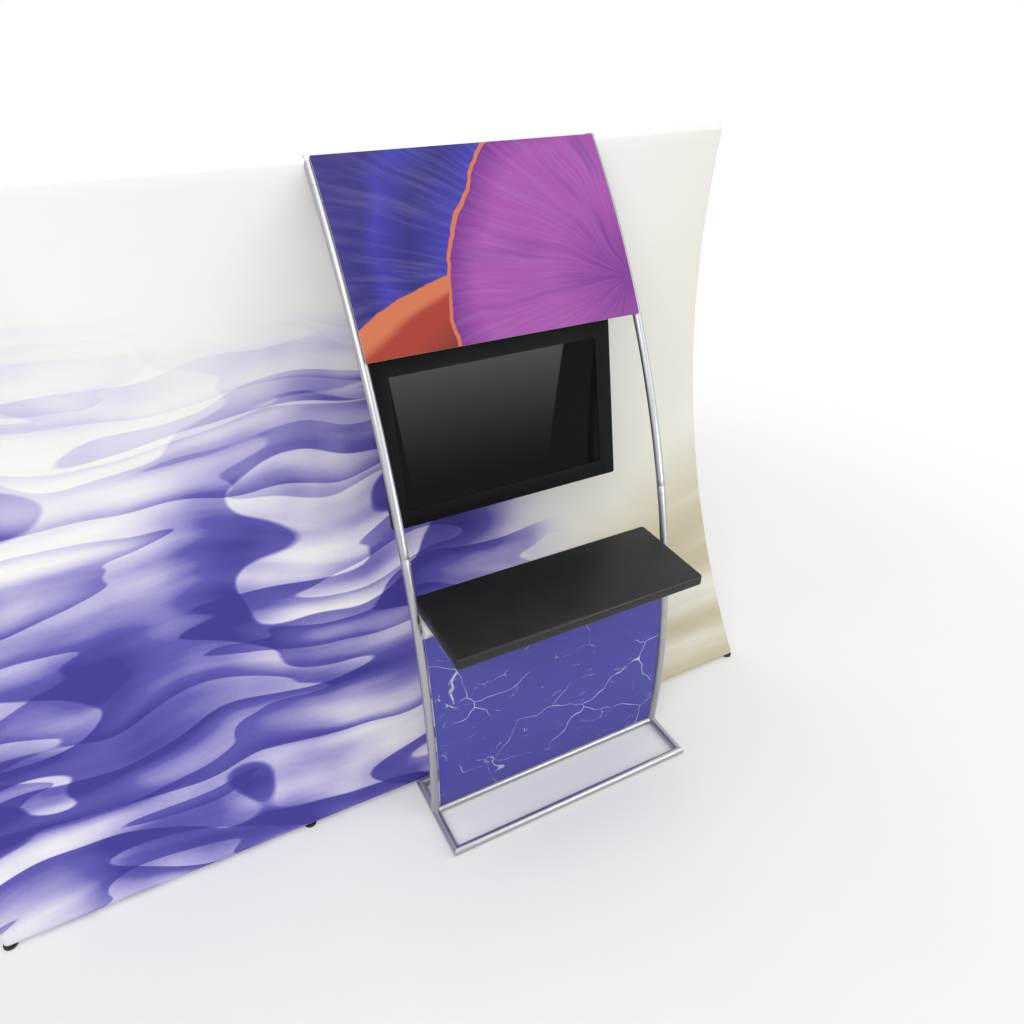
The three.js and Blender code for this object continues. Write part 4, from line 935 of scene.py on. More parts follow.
def coverSheet(plan):
    reach, off = arcPlan["postReach"], plan["standOff"]
    zipX = [-plan["zipReach"], plan["zipReach"]]
    zipLow, zipHigh = (wallLow + (plan["zipUp"] + s * plan["zipHalfWidth"]) / wallArc["radius"]
                       for s in (-1, 1))
    xs = stepsWith(-reach, reach, plan["columns"], zipX, plan["columnGap"])
    angles = stepsWith(wallLow, wallHigh, plan["rows"], [zipLow, zipHigh], plan["rowGap"])
    work = bmesh.new()
    uvLayer = work.loops.layers.uv.new("UVMap")

    def spot(x, a, normal, outX=0.0, outUp=0.0):
        y, z = onArc(wallArc, a)
        cosA, sinA = math.cos(a), math.sin(a)
        return work.verts.new((x + outX * off,
                               y - normal * off * cosA - outUp * off * sinA,
                               z - normal * off * sinA + outUp * off * cosA))

    def face(corners, uvs, material):
        made = work.faces.new(corners)
        made.material_index = material
        for loop, uv in zip(made.loops, uvs):
            loop[uvLayer].uv = uv

    def isZip(i, j):
        inRow = angles[j] >= zipLow - 1e-9 and angles[j + 1] <= zipHigh + 1e-9
        return inRow and xs[i] >= zipX[0] - 1e-9 and xs[i + 1] <= zipX[1] + 1e-9

    arcRun = lambda a: (a - wallLow) * wallArc["radius"]
    for normal, material in [(1, 0), (-1, 1)]:
        grid = [[spot(x, a, normal) for a in angles] for x in xs]
        for i in range(len(xs) - 1):
            for j in range(len(angles) - 1):
                if normal < 0 and isZip(i, j):
                    continue
                keys = [(i, j), (i + 1, j), (i + 1, j + 1), (i, j + 1)]
                if normal < 0:
                    keys.reverse()
                start = 0.0 if normal > 0 else plan["backPrintStart"]
                uvs = [(xs[p], start + normal * arcRun(angles[q])) for p, q in keys]
                face([grid[p][q] for p, q in keys], uvs, material)
    # the rounding over the tubes, all round: X, arc angle, and the way out
    quarter = [math.pi / 2 * k / plan["corner"] for k in range(1, plan["corner"])]
    rim = [(x, wallLow, 0.0, -1.0) for x in xs]
    rim += [(xs[-1], wallLow, math.sin(t), -math.cos(t)) for t in quarter]
    rim += [(xs[-1], a, 1.0, 0.0) for a in angles]
    rim += [(xs[-1], wallHigh, math.cos(t), math.sin(t)) for t in quarter]
    rim += [(x, wallHigh, 0.0, 1.0) for x in reversed(xs)]
    rim += [(xs[0], wallHigh, -math.sin(t), math.cos(t)) for t in quarter]
    rim += [(xs[0], a, -1.0, 0.0) for a in reversed(angles)]
    rim += [(xs[0], wallLow, -math.cos(t), -math.sin(t)) for t in quarter]
    turns = [math.pi * k / plan["turn"] for k in range(plan["turn"] + 1)]
    band = [[spot(x, a, math.cos(t), outX * math.sin(t), outUp * math.sin(t)) for t in turns]
            for x, a, outX, outUp in rim]

    def rimPrint(p, q):
        x, a, outX, outUp = rim[p]
        return x + outX * off * turns[q], arcRun(a) + outUp * off * turns[q]

    for i in range(len(rim)):
        n = (i + 1) % len(rim)
        for k in range(plan["turn"]):
            keys = [(i, k), (i, k + 1), (n, k + 1), (n, k)]
            face([band[p][q] for p, q in keys], [rimPrint(p, q) for p, q in keys], 0)
    bmesh.ops.remove_doubles(work, verts=work.verts, dist=1e-6)
    obj = fromWork("coverCloth", work, [finishes["cover"], finishes["coverBack"]])
    thick = obj.modifiers.new("thickness", "SOLIDIFY")
    thick.thickness = plan["thickness"]
    thick.offset = -1.0
    return settle(obj)


cover = coverSheet(coverPlan)
setPiece(cover, rootBody, ["fabric_cover"], 60)


def backPoint(x, up, stand):
    a = wallLow + up / wallArc["radius"]
    y, z = onArc(wallArc, a, -stand)
    return Vector((x, y, z))


seamPlan = {
    "pitch": 0.0042, "length": 0.0031, "width": 0.0008, "height": 0.0006, "insets": (0.006, 0.011),
    "foot": 0.01, "stand": 0.0001, "upSteps": 60, "acrossSteps": 40,
}


def seamPath(plan, inset):
    reach = arcPlan["postReach"] - inset
    high = (wallHigh - wallLow) * wallArc["radius"] - inset
    stand = coverPlan["standOff"] + plan["stand"]
    foot, ups, acrosses = plan["foot"], plan["upSteps"], plan["acrossSteps"]
    path = [backPoint(-reach, foot + (high - foot) * i / ups, stand) for i in range(ups + 1)]
    path += [backPoint(-reach + 2 * reach * i / acrosses, high, stand) for i in range(1, acrosses + 1)]
    path += [backPoint(reach, high - (high - foot) * i / ups, stand) for i in range(1, ups + 1)]
    return path


seams = [alongPath("part", seamPath(seamPlan, inset), seamPlan, 0.0, finishes["thread"])
         for inset in seamPlan["insets"]]
seam = joined("coverSeamStitches", seams)
setPiece(seam, rootBody, (), 60)
print("cover done")


# zip: a tape that fills the cover's slit, and the coil on it

zipPlan = {
    "tapeStand": 0.0171, "gap": 0.0003, "columns": 80, "tapeThick": 0.0008, "start": 0.004,
    "coilStand": 0.0017, "coilSteps": 40,
    "ridge": [(-0.0035, 0.0), (-0.0033, 0.0004), (-0.0008, 0.0009), (0.0008, 0.0009), (0.0033, 0.0004),
              (0.0035, 0.0)],
    "teeth": {"pitch": 0.0025, "length": 0.0016, "width": 0.0056, "height": 0.0019},
}


def zipPieces(plan):
    reach = coverPlan["zipReach"] - plan["gap"]
    half = coverPlan["zipHalfWidth"] - plan["gap"]
    up, stand, thick = coverPlan["zipUp"], plan["tapeStand"], plan["tapeThick"]
    section = [(-half, 0.0), *plan["ridge"], (half, 0.0), (half, -thick), (-half, -thick)]
    places = [-reach + 2 * reach * i / plan["columns"] for i in range(plan["columns"] + 1)]
    rings = [[backPoint(x, up + s, stand + h) for s, h in section] for x in places]
    tape = outward(loft("zipTape", rings, finishes["zipTape"]))
    uvLayer = tape.data.uv_layers.new(name="UVMap")
    for loop in tape.data.loops:
        co = tape.data.vertices[loop.vertex_index].co
        uvLayer.data[loop.index].uv = (co.x, co.z)
    lean = -(wallLow + up / wallArc["radius"])
    far, steps = reach - plan["start"], plan["coilSteps"]
    path = [backPoint(-far + 2 * far * i / steps, up, stand + plan["coilStand"]) for i in range(steps + 1)]
    coil = alongPath("zipCoil", path, plan["teeth"], lean, finishes["nylon"])
    setPiece(tape, rootBody, ["zip_chain"])
    setPiece(coil, rootBody, (), 60)
    return tape, coil


tape, coil = zipPieces(zipPlan)
for node, name in [("zip_slider", "zipSlider"), ("zip_pull", "zipPull")]:
    setPiece(copyOf(node, name, finishes["steel"], 0.0003), node, [node])
print("zip done")


# swivelling feet

footPlan = {
    "width": 0.044, "length": 0.512, "thick": 0.007, "corner": 0.012, "edge": 0.0009, "pin": 0.006,
    "pinTop": 0.033, "pinChamfer": 0.0012,
    "washer": [(0.0062, 0.0068), (0.0095, 0.0068), (0.0095, 0.00735), (0.0062, 0.00735)],
}


def footPiece(name, x, plan):
    half, corner = plan["width"] / 2, plan["corner"]
    far = plan["length"] - plan["width"]
    y = ladderY + arcPlan["wallBehind"]
    outline = arcPoints((x, y), half, math.pi, 2 * math.pi, 24)
    outline += arcPoints((x + half - corner, y + far), corner, 0.0, math.pi / 2, 8)
    outline += arcPoints((x + corner - half, y + far), corner, math.pi / 2, math.pi, 8)
    rings = [[(a, b, z) for a, b in outline] for z in (0.0, plan["thick"])]
    plate = rounded(outward(loft("part", rings, finishes["black"])), plan["edge"], 3)
    pin = straightTube("part", (x, y, plan["thick"] - 0.001), (x, y, plan["pinTop"]), plan["pin"],
                       finishes["steel"], sides=28, chamfer=plan["pinChamfer"])
    rings = [[(a, b, z) for a, b in circlePoints((x, y), r, 32)] for r, z in plan["washer"]]
    washer = outward(loft("part", rings + [rings[0]], finishes["steel"], False, False))
    return joined(name, [plate, pin, washer])


for postName, postX in postPlaces.items():
    foot = footPiece(postName + "Foot", postX, footPlan)
    setPiece(foot, postName + "_foot", [postName + "_foot"])
print("feet done")


# ladder: base frame

basePlan = {"front": -0.1955, "back": 0.142}


def baseFrame(plan):
    left, right = uprightX["left"], uprightX["right"]
    front, back = ladderY + plan["front"], ladderY + plan["back"]
    # start, end, the way its mitres face, and its node
    bars = {
        "baseFrontBar": ((left, front, tubeR), (right, front, tubeR), Vector((0, 1, 0)), "base_front_bar"),
        "baseBackBar": ((left, back, tubeR), (right, back, tubeR), Vector((0, -1, 0)), "base_back_bar"),
        "baseLeftBar": ((left, front, tubeR), (left, back, tubeR), Vector((1, 0, 0)), "base_left_bar"),
        "baseRightBar": ((right, front, tubeR), (right, back, tubeR), Vector((-1, 0, 0)), "base_right_bar"),
    }
    for name, (start, end, inside, node) in bars.items():
        bar = straightTube(name, start, end, tubeR, finishes["ladder"], inside.dot, (-inside).dot, steps=4)
        setPiece(bar, rootBody, [node], 30)


# a bar's end, coped against an upright that passes at this angle of the ladder's arc
def saddle(angle):
    return lambda o: math.sqrt(max(0.0, tubeR ** 2 - (o.y * math.cos(angle) - o.z * math.sin(angle)) ** 2))


def crossBar(name, node, angle, tabs, alsoFlat=False):
    y, z = onArc(ladderArc, angle)
    cut = saddle(angle)
    if alsoFlat:
        upright = cut
        cut = lambda o: max(upright(o), math.sqrt(max(0.0, tubeR ** 2 - o.z ** 2)))
    bar = straightTube("part", (uprightX["left"], y, z), (uprightX["right"], y, z), tubeR, finishes["ladder"],
                       cut, lambda o: -cut(o), sides=48, chamfer=0.0, steps=4)
    parts = [bar]
    for x0, x1, z0, z1, front, back in tabs:
        a0, a1 = angleAt(ladderArc, z0), angleAt(ladderArc, z1)
        outline = [onArc(ladderArc, a0 + (a1 - a0) * i / 3, front) for i in range(4)]
        outline += [onArc(ladderArc, a1 + (a0 - a1) * i / 3, back) for i in range(4)]
        parts.append(prism("part", outline, x0, x1, finishes["bracket"], 0.0006))
    setPiece(joined(name, parts), rootBody, [node], 30)


# the tabs that hold the printed panels: a pair on each bar, from low to high, with a front and a back
tabPlan = {
    "width": 0.04, "thick": 0.003, "gap": 0.0003, "lowerReach": 0.36, "headerReach": 0.376,
    "middleBar": (0.028, 0.06), "shelfBar": (0.805, 0.837), "headerHalf": 0.015, "pad": 0.0182,
    "padBack": -0.011,
}
barLevels = {"shelf": 0.85, "headerLower": 1.742, "headerUpper": 2.11}


def tabs(reach, low, high, front, back):
    half = tabPlan["width"] / 2
    return [(ladderX + s * reach - half, ladderX + s * reach + half, low, high, front, back) for s in (-1, 1)]


def lowerTabs(span):
    return tabs(tabPlan["lowerReach"], *span, -tabPlan["gap"], -tabPlan["gap"] - tabPlan["thick"])


baseFrame(basePlan)
crossBar("baseMiddleBar", "base_middle_bar", angleAt(ladderArc, tubeR), lowerTabs(tabPlan["middleBar"]), True)
crossBar("shelfBar", "shelf_bar", angleAt(ladderArc, barLevels["shelf"]), lowerTabs(tabPlan["shelfBar"]))
for label in ("Lower", "Upper"):
    level = barLevels["header" + label]
    low, high = level - tabPlan["headerHalf"], level + tabPlan["headerHalf"]
    crossBar(f"header{label}Bar", f"header_{label.lower()}_bar", angleAt(ladderArc, level),
             tabs(tabPlan["headerReach"], low, high, tabPlan["pad"], tabPlan["padBack"]))
print("ladder bars done")


# ladder: uprights, joints and buttons

uprightPlan = {
    "foot": 0.018, "joint": 1.123, "topJoint": 2.152, "top": 2.222, "gap": 0.0002, "sides": 48,
    "sleeveHalf": 0.02, "sleeveRadius": 0.0118, "button": 0.022, "hole": 0.0044, "holeReach": 0.03,
    "hiddenSides": 28,
    # places from the upright's middle, and radii there
    "buttonProfile": [(0.0082, 0.0037), (0.0087, 0.004), (0.0159, 0.004), (0.0167, 0.0034), (0.0172, 0.0024),
                      (0.0175, 0.0008)],
}


def buttonSeat(side, sign):
    a = angleAt(ladderArc, uprightPlan["joint"]) + sign * uprightPlan["button"] / ladderArc["radius"]
    return Vector((uprightX[side], *onArc(ladderArc, a)))


def drilled(obj, side, signs):
    plan = uprightPlan
    for sign in signs:
        seat = buttonSeat(side, sign)
        end = seat + Vector((inwards[side] * plan["holeReach"], 0, 0))
        tool = straightTube("tool", seat, end, plan["hole"], finishes["ladder"], sides=plan["hiddenSides"],
                            chamfer=0.0)
        outward(tool)
        mod = obj.modifiers.new("hole", "BOOLEAN")
        mod.operation = "DIFFERENCE"
        mod.solver = "EXACT"
        mod.object = tool
        settle(obj)
        bpy.data.objects.remove(tool)
    return obj


def uprightPieces(side):
    plan = uprightPlan
    x = uprightX[side]
    joint, topJoint = angleAt(ladderArc, plan["joint"]), angleAt(ladderArc, plan["topJoint"])
    gap = plan["gap"] / ladderArc["radius"]
    halves = [("lower", -1, angleAt(ladderArc, plan["foot"]), joint - gap),
              ("upper", 1, joint + gap, topJoint - gap)]
    for half, sign, a0, a1 in halves:
        tube = bentTube(f"{side}Upright{half.title()}", ladderArc, x, a0, a1, tubeR, finishes["ladder"],
                        0.025, plan["sides"])
        rounded(drilled(tube, side, [sign]), 0.0005, 2, 50)
        setPiece(tube, rootBody, [f"{side}_upright_{half}"], 40)
    core = bentTube(f"{side}JointSleeve", ladderArc, x, joint - plan["sleeveHalf"],
                    joint + plan["sleeveHalf"], plan["sleeveRadius"], finishes["wallTube"], 0.02,
                    plan["hiddenSides"])
    setPiece(drilled(core, side, [-1, 1]), rootBody, [f"{side}_joint_sleeve"])
    for half, sign, _, _ in halves:
        seat = buttonSeat(side, sign)
        rings = [[(seat.x + inwards[side] * out, y, z)
                  for y, z in circlePoints(seat.yz, radius, plan["hiddenSides"])]
                 for out, radius in plan["buttonProfile"]]
        pin = outward(loft(f"{side}{half.title()}SnapButton", rings, finishes["steel"]))
        node = f"{side}_{half}_snap_button"
        setPiece(pin, node, [node])


headPlan = {
    "clothGap": 0.0006, "steps": 10, "backStep": 0.0008, "backSteps": 40, "hookThick": 0.003,
    "hookHalf": 0.01, "hookFrom": 0.93, "hookSteps": 28, "hookTail": 0.016, "plugReach": 0.0165,
    "plugRadius": 0.012,
}


def uprightHead(side):
    plan = headPlan
    x = uprightX[side]
    a0 = angleAt(ladderArc, uprightPlan["topJoint"]) + uprightPlan["gap"] / ladderArc["radius"]
    a1 = angleAt(ladderArc, uprightPlan["top"])
    clear = coverPlan["standOff"] + plan["clothGap"]
    limit = wallArc["radius"] - clear
    headY, headZ = onArc(wallArc, wallHigh)

    def touches(spot):
        out = math.hypot(spot.y - wallArc["centreY"], spot.z - wallArc["centreZ"])
        return (out > limit and spot.z < headZ) or math.hypot(spot.y - headY, spot.z - headZ) < clear

    rings, runs, rounds = [], [], []
    for k in range(plan["steps"] + 1):
        a = a0 + (a1 - a0) * k / plan["steps"]
        middle = Vector((x, *onArc(ladderArc, a)))
        tangent = Vector((0, math.sin(a), math.cos(a)))
        normal = Vector((0, math.cos(a), -math.sin(a)))
        ring = []
        for across, out in circlePoints((0, 0), tubeR, uprightPlan["sides"]):
            spot = middle + Vector((across, 0, 0)) + normal * out
            # drawn back along the tube until it is clear of the cloth
            for _ in range(plan["backSteps"]):
                if not touches(spot):
                    break
                spot -= tangent * plan["backStep"]
            ring.append(spot)
            runs.append((a - a0) * ladderArc["radius"])
            rounds += [across, out, 0.0]
        rings.append(ring)
    tube = markTube(loft("part", rings, finishes["ladder"]), runs, rounds)
    inner = clear + plan["clothGap"]
    outer = inner + plan["hookThick"]
    start, steps = math.pi * plan["hookFrom"], plan["hookSteps"]
    tail = [wallHigh - plan["hookTail"] * i / 3 / wallArc["radius"] for i in (1, 2, 3)]
    outline = arcPoints((headY, headZ), outer, start, wallHigh, steps)
    outline += [onArc(wallArc, a, -outer) for a in tail] + [onArc(wallArc, a, -inner) for a in reversed(tail)]
    outline += arcPoints((headY, headZ), inner, wallHigh, start, steps)
    hook = prism("part", outline, x - plan["hookHalf"], x + plan["hookHalf"], finishes["steel"], 0.0006)
    plug = bentTube("part", ladderArc, x, a0 - plan["plugReach"], a0 + 0.001, plan["plugRadius"],
                    finishes["ladder"], 0.02, uprightPlan["hiddenSides"])
    head = joined(f"{side}UprightHead", [tube, hook, plug])
    setPiece(head, rootBody, [f"{side}_upright_head"], 40)


for side in ("left", "right"):
    uprightPieces(side)
    uprightHead(side)
print("uprights done")


# printed panels

panelPlan = {
    "header": {"width": 0.992, "low": 1.704, "high": 2.233, "back": 0.0185, "thick": 0.0035, "corner": 0.004},
    "lower": {"width": 0.96, "low": 0.035, "high": 0.833, "back": 0.0, "thick": 0.003, "corner": 0.003},
}
for panel in panelPlan.values():
    panel.update({"columns": 24, "rowHeight": 0.02, "cornerSteps": 5, "edge": 0.0004})


# a bent sheet with rounded corners, its print laid out from its middle
def bentPanel(name, plan, printed):
    half, corner = plan["width"] / 2, plan["corner"]
    front = plan["back"] + plan["thick"]
    a0, a1 = (angleAt(ladderArc, plan[end], front) for end in ("low", "high"))
    run = (a1 - a0) * ladderArc["radius"]
    steps, columns, rows = plan["cornerSteps"], plan["columns"], int(run / plan["rowHeight"])
    ends = [corner * (1 - math.cos(math.pi / 2 * k / steps)) for k in range(steps + 1)]
    levels = ends + [corner + (run - 2 * corner) * k / rows for k in range(1, rows)]
    levels += [run - e for e in reversed(ends)]
    work = bmesh.new()
    uvLayer = work.loops.layers.uv.new("UVMap")
    uvOf = {}

    def sheetGrid(offset):
        grid = []
        for s in levels:
            short = max(0.0, corner - min(s, run - s))
            reach = half - corner + math.sqrt(max(0.0, corner ** 2 - short ** 2))
            y, z = onArc(ladderArc, a0 + s / ladderArc["radius"], offset)
            row = [work.verts.new((ladderX + reach * (2 * c / columns - 1), y, z))
                   for c in range(columns + 1)]
            uvOf.update((vert, (vert.co.x - ladderX, s - run / 2)) for vert in row)
            grid.append(row)
        return grid

    def face(corners, material):
        made = work.faces.new(corners)
        made.material_index = material
        for loop in made.loops:
            loop[uvLayer].uv = uvOf[loop.vert]

    near, far = sheetGrid(front), sheetGrid(plan["back"])
    last = len(levels) - 1
    for r in range(last):
        for c in range(columns):
            face([near[r][c], near[r][c + 1], near[r + 1][c + 1], near[r + 1][c]], 0)
            face([far[r][c], far[r + 1][c], far[r + 1][c + 1], far[r][c + 1]], 1)
        face([near[r][0], near[r + 1][0], far[r + 1][0], far[r][0]], 1)
        face([near[r][columns], far[r][columns], far[r + 1][columns], near[r + 1][columns]], 1)
    for c in range(columns):
        face([near[0][c], far[0][c], far[0][c + 1], near[0][c + 1]], 1)
        face([near[last][c], near[last][c + 1], far[last][c + 1], far[last][c]], 1)
    return rounded(fromWork(name, work, [printed, finishes["panelBack"]]), plan["edge"], 2, 50)


for label, plan in panelPlan.items():
    panel = bentPanel(label + "Panel", plan, finishes[label])
    setPiece(panel, rootBody, [label + "_panel"])
print("panels done")


# shelf and brackets

shelfPlan = {
    "width": 0.942, "depth": 0.36, "thick": 0.04, "top": 0.9315, "frontY": -0.212, "corner": 0.014,
    "edge": 0.008, "edgeSteps": 6, "leastCorner": 0.004, "screwInset": 0.045, "screwY": -0.026,
    "screwZ": 0.8862,
    "screwSpots": (-0.11, -0.04, 0.04, 0.11), "screwRadius": 0.0045, "screwHeight": 0.0022,
}


def shelfBoard(plan):
    centreY = ladderY + plan["frontY"] + plan["depth"] / 2
    low, high, edge = plan["top"] - plan["thick"], plan["top"], plan["edge"]
    quarter = [math.pi / 2 * k / plan["edgeSteps"] for k in range(plan["edgeSteps"] + 1)]
    stations = [(low + edge * (1 - math.cos(t)), edge * (1 - math.sin(t))) for t in quarter]
    stations += [(high - z + low, inset) for z, inset in reversed(stations)]
    rings = []
    for z, inset in stations:
        corner = max(plan["corner"] - inset, plan["leastCorner"])
        ring = roundedRing(plan["width"] - 2 * inset, plan["depth"] - 2 * inset, corner, 8)
        rings.append([(ladderX + a, centreY + b, z) for a, b in ring])
    board = loft("shelfBoard", rings, finishes["shelfEdge"])
    board.data.materials.append(finishes["shelf"])
    for polygon in board.data.polygons:
        if abs(polygon.normal.z) > 0.98:
            polygon.material_index = 1
    return board


def shelfScrews(side, plan):
    x = uprightX[side] + inwards[side] * (tubeR + plan["screwInset"])
    spots = [((x, ladderY + plan["screwY"] + s, plan["screwZ"]), (0, 0, -1)) for s in plan["screwSpots"]]
    return screwHeads(f"{side}ShelfScrews", spots, plan["screwRadius"], plan["screwHeight"],
                      finishes["steel"])


setPiece(shelfBoard(shelfPlan), rootBody, ["shelf"], 50)
for side in ("left", "right"):
    bracket = copyOf(f"{side}_shelf_bracket", f"{side}ShelfBracket", finishes["bracket"], 0.0008)
    setPiece(bracket, rootBody, [f"{side}_shelf_bracket"])
    setPiece(shelfScrews(side, shelfPlan), rootBody)
print("shelf done")


# monitor, in its own frame: X across, Y out of its back, Z up its face

monitorPlan = {
    "pivot": (0.434, 0.261990, 1.523508), "tilt": 10.35, "width": 0.908, "height": 0.59, "pivotBehind": 0.11,
    "pivotAbove": 0.18, "lip": 0.0025, "screenBorder": 0.0533, "screenGap": 0.0003,
    # inset, how far behind the face, and corner radius, from the rim's back round to its front
    "rim": [(0.0, 0.009, 0.0075), (0.0, 0.0012, 0.008), (0.0006, 0.0003, 0.0076), (0.0013, 0.0, 0.007)],
    "opening": [(0.0608, 0.0), (0.061, 0.0002), (0.061, 0.0025), (0.053, 0.0025), (0.053, 0.009)],
    "screen": [(0.0, 0.0055), (0.0, 0.0006), (0.0006, 0.0)],
}
monitorTurn = (Matrix.Translation(monitorPlan["pivot"])
               @ Matrix.Rotation(math.radians(-monitorPlan["tilt"]), 4, "X"))


def inMonitor(x, behind, z):
    return monitorTurn @ Vector((x, behind - monitorPlan["pivotBehind"], z - monitorPlan["pivotAbove"]))


def monitorRing(inset, behind, corner, steps):
    width, height = monitorPlan["width"] - 2 * inset, monitorPlan["height"] - 2 * inset
    return [inMonitor(a, behind, b) for a, b in roundedRing(width, height, corner, steps)]


def bezelPiece(plan):
    rings = [monitorRing(inset, behind, corner, 5) for inset, behind, corner in plan["rim"]]
    rings += [monitorRing(border, behind, 0.0008, 5) for border, behind in plan["opening"]]
    return outward(loft("monitorBezel", rings + [rings[0]], finishes["bezel"], False, False))


def screenPiece(plan):
    near = plan["lip"] + plan["screenGap"]
    rings = [monitorRing(plan["screenBorder"] + inset, near + behind, 0.002, 4)
             for inset, behind in plan["screen"]]
    return outward(loft("monitorScreen", rings, finishes["glass"]))


setPiece(bezelPiece(monitorPlan), "monitor", ["monitor_bezel"], 30)
setPiece(screenPiece(monitorPlan), "monitor", ["monitor_screen"], 30)

# the solids that keep their shape: node, piece, finish, edge, body and slot
keptSolids = [
    ("monitor_back", "monitorBack", "case", 0.0008, "monitor", "monitor_case"),
    ("power_inlet", "powerInlet", "case", 0.0003, "monitor", "monitor_case"),
    ("tilt_frame", "tiltFrame", "black", 0.0006, "monitor", "hanger_steel"),
    ("left_hanger_arm", "leftHangerArm", "black", 0.0006, rootBody, "hanger_steel"),
    ("right_hanger_arm", "rightHangerArm", "black", 0.0006, rootBody, "hanger_steel"),
    ("power_key", "powerKey", "key", 0.0004, "power_key", "monitor_key"),
    ("volume_up_key", "volumeUpKey", "key", 0.0004, "volume_up_key", "monitor_key"),
    ("volume_down_key", "volumeDownKey", "key", 0.0004, "volume_down_key", "monitor_key"),
]
for node, name, finish, edge, body, slot in keptSolids:
    setPiece(copyOf(node, name, finishes[finish], edge), body, [node], 30)

screwPlans = {
    "mountScrews": {"xs": (-0.1, 0.1), "zs": (-0.09, 0.09), "behind": 0.0843, "radius": 0.006,
                    "height": 0.0026, "finish": "steel", "slot": "hanger_steel"},
    "caseScrews": {"xs": (-0.43, -0.15, 0.15, 0.43), "zs": (-0.275, 0.275), "behind": 0.0241,
                   "radius": 0.0034, "height": 0.0012, "finish": "black", "slot": "monitor_case"},
}
backOut = monitorTurn.to_3x3() @ Vector((0, 1, 0))
for name, plan in screwPlans.items():
    spots = [(inMonitor(x, plan["behind"], z), backOut) for x in plan["xs"] for z in plan["zs"]]
    screws = screwHeads(name, spots, plan["radius"], plan["height"], finishes[plan["finish"]])
    setPiece(screws, "monitor")


knobPlan = {
    "radius": 0.015, "lobes": 6, "lobeHeight": 0.1, "lobeFrom": 0.6, "start": 0.1642, "corners": 96,
    # depth from the arm, and the share of the radius there
    "profile": [(0.0, 0.92), (0.0005, 0.98), (0.0015, 1.0), (0.014, 1.0), (0.0175, 0.97), (0.0192, 0.9),
                (0.02, 0.78), (0.0197, 0.5), (0.0196, 0.3)],
}


def knobPiece(side, plan):
    rings = []
    for depth, share in plan["profile"]:
        x = -inwards[side] * (plan["start"] + depth)
        ring = []
        for i in range(plan["corners"]):
            t = 2 * math.pi * i / plan["corners"]
            lobe = 1 + plan["lobeHeight"] * math.cos(plan["lobes"] * t) * min(1.0, share)
            r = plan["radius"] * share * (lobe if share > plan["lobeFrom"] else 1.0)
            ring.append(monitorTurn @ Vector((x, r * math.cos(t), r * math.sin(t))))
        rings.append(ring)
    return outward(loft(f"{side}TiltKnob", rings, finishes["knob"]))


for side in ("left", "right"):
    setPiece(knobPiece(side, knobPlan), f"{side}_tilt_knob", [f"{side}_tilt_knob"], 40)
print("monitor done")


# floor, room and the card that the screen mirrors

# 1 for rays from the camera, and for those that metal and glass send on
def directRay(tree):
    path = put(tree, "ShaderNodeLightPath").outputs
    seen = calc(tree, "MAXIMUM", path["Is Camera Ray"], path["Is Glossy Ray"])
    return calc(tree, "MAXIMUM", seen, path["Is Transmission Ray"])


def makeFloor(plan):
    reach = plan["floorReach"]
    corners = [(-reach, -reach, 0), (reach, -reach, 0), (reach, reach, 0), (-reach, reach, 0)]
    finish, tree, shader = newFinish("paleFloor")
    shader.inputs["Specular IOR Level"].default_value = plan["floorShine"]
    shader.inputs["Roughness"].default_value = plan["floorRough"]
    place = objectPlace(tree)
    cloud = noise(tree, place, plan["floorGrain"], 3, 0.5)
    wire(tree, shader, {"Base Color": mixColour(tree, cloud, *map(hexColour, plan["floorTones"]))})
    far = vectorCalc(tree, "LENGTH", place, output="Value")
    fade = smoothStep(tree, far, plan["fadeFrom"], plan["fadeTo"])
    white = put(tree, "ShaderNodeEmission", {"Color": (1, 1, 1, 1), "Strength": 1.0})
    both = put(tree, "ShaderNodeMixShader", {0: times(tree, fade, directRay(tree)),
                                             1: shader.outputs[0], 2: white.outputs[0]})
    tree.links.new(both.outputs[0], tree.nodes["Material Output"].inputs["Surface"])
    meshPiece("floor", corners, [(0, 1, 2, 3)], finish)


def makeRoom(plan):
    world = bpy.data.worlds.new("studio")
    scene.world = world
    world.use_nodes = True
    tree = world.node_tree
    ground = tree.nodes["Background"]
    level = smoothStep(tree, directRay(tree), 0.0, 1.0, plan["shade"], plan["shown"])
    ground.inputs["Color"].default_value = (1, 1, 1, 1)
    tree.links.new(level, ground.inputs["Strength"])


cardPlan = {
    # across and up on the screen: where the bright patch's corners lie, as the camera sees it
    "corners": [(-0.392, 0.234), (0.263, 0.234), (0.160, -0.197), (-0.36, -0.197)],
    "away": 2.4, "glow": 14.0, "falloff": 1.8,
}


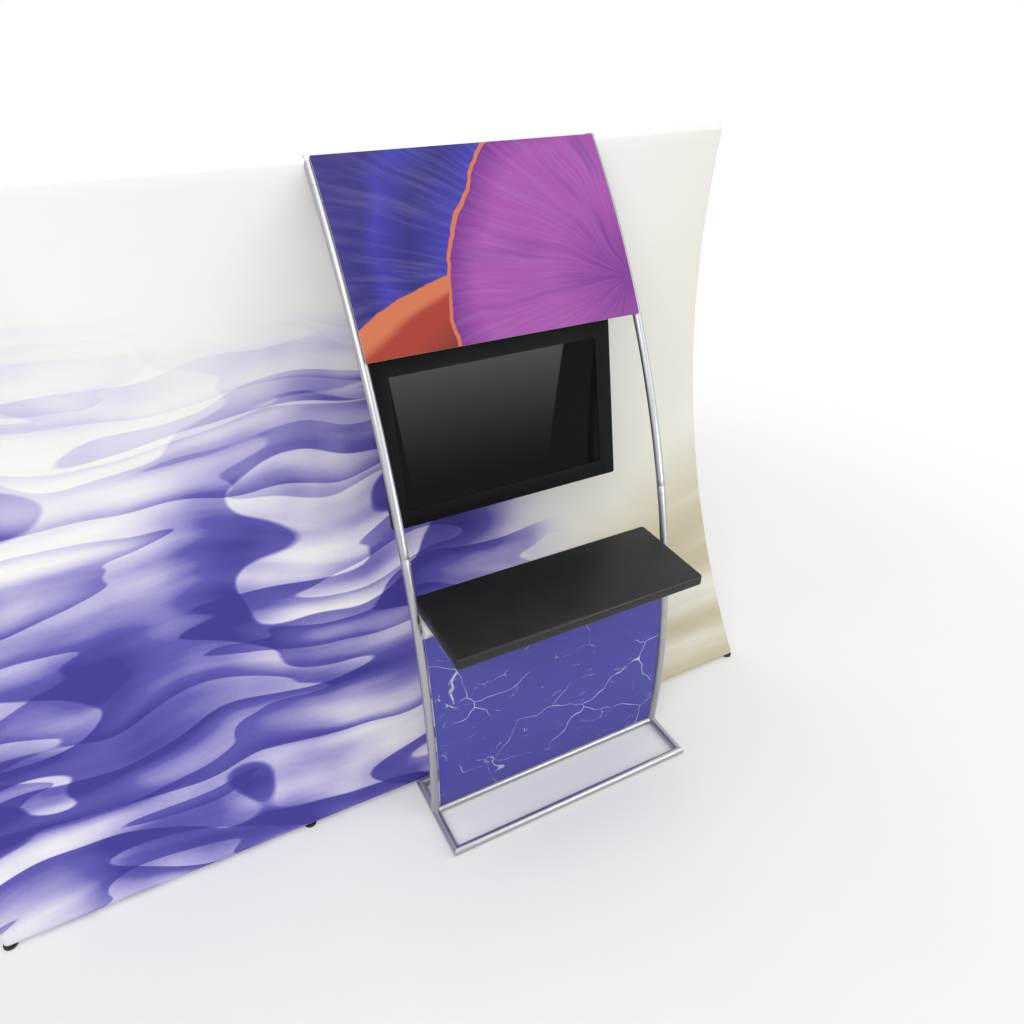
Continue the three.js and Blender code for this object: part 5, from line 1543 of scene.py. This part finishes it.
def makeCard(plan, camera):
    behind = monitorPlan["lip"] + monitorPlan["screenGap"]
    normal = monitorTurn.to_3x3() @ Vector((0, -1, 0))
    centre = inMonitor(0, behind, 0)
    eye = Vector(camera.location)
    mirrored = eye - 2 * (eye - centre).dot(normal) * normal
    ray = (centre - mirrored).normalized()
    base = centre + ray * plan["away"]
    points = []
    for x, z in plan["corners"]:
        direction = (inMonitor(x, behind, z) - mirrored).normalized()
        points.append(mirrored + direction * ((base - mirrored).dot(ray) / direction.dot(ray)))
    finish = bpy.data.materials.new("lightCard")
    finish.use_nodes = True
    tree = finish.node_tree
    tree.nodes.remove(tree.nodes["Principled BSDF"])
    rise = parted(tree, clothPlace(tree))[1]
    power = times(tree, calc(tree, "POWER", rise, plan["falloff"]), plan["glow"])
    glow = put(tree, "ShaderNodeEmission", {"Color": (1, 1, 1, 1), "Strength": power})
    clear = put(tree, "ShaderNodeBsdfTransparent")
    both = put(tree, "ShaderNodeAddShader", {0: glow.outputs[0], 1: clear.outputs[0]})
    tree.links.new(both.outputs[0], tree.nodes["Material Output"].inputs["Surface"])
    card = meshPiece("lightCard", points, [(0, 1, 2, 3)], finish)
    layer = card.data.uv_layers.new(name="UVMap")
    for loop, uv in zip(card.data.loops, [(0, 1), (1, 1), (1, 0), (0, 0)]):
        layer.data[loop.index].uv = uv
    card.visible_camera = False
    card.visible_diffuse = False
    card.visible_shadow = False
    card.visible_transmission = False


camera = makeCamera(cameraPlan)
makeLamps(lampPlan)
makeRoom(roomPlan)
makeFloor(roomPlan)
makeCard(cardPlan, camera)
scene.view_settings.view_transform = "Standard"
print("studio done")


# any node that is still shown gets a finish

restFinishes = {
    "post": "wallTube", "rail": "wallTube", "sleeve": "wallTube", "bar": "bracket", "foot": "black",
    "key": "key", "monitor": "case", "hanger": "black", "tilt": "black", "shelf": "shelf", "button": "steel",
    "upright": "bracket",
}
for nodeName, nodeObject in nodes.items():
    if nodeObject.hide_render:
        continue
    kind = next((value for key, value in restFinishes.items() if key in nodeName), "bracket")
    nodeObject.data.materials.clear()
    nodeObject.data.materials.append(finishes[kind])
    print("kept node", nodeName)
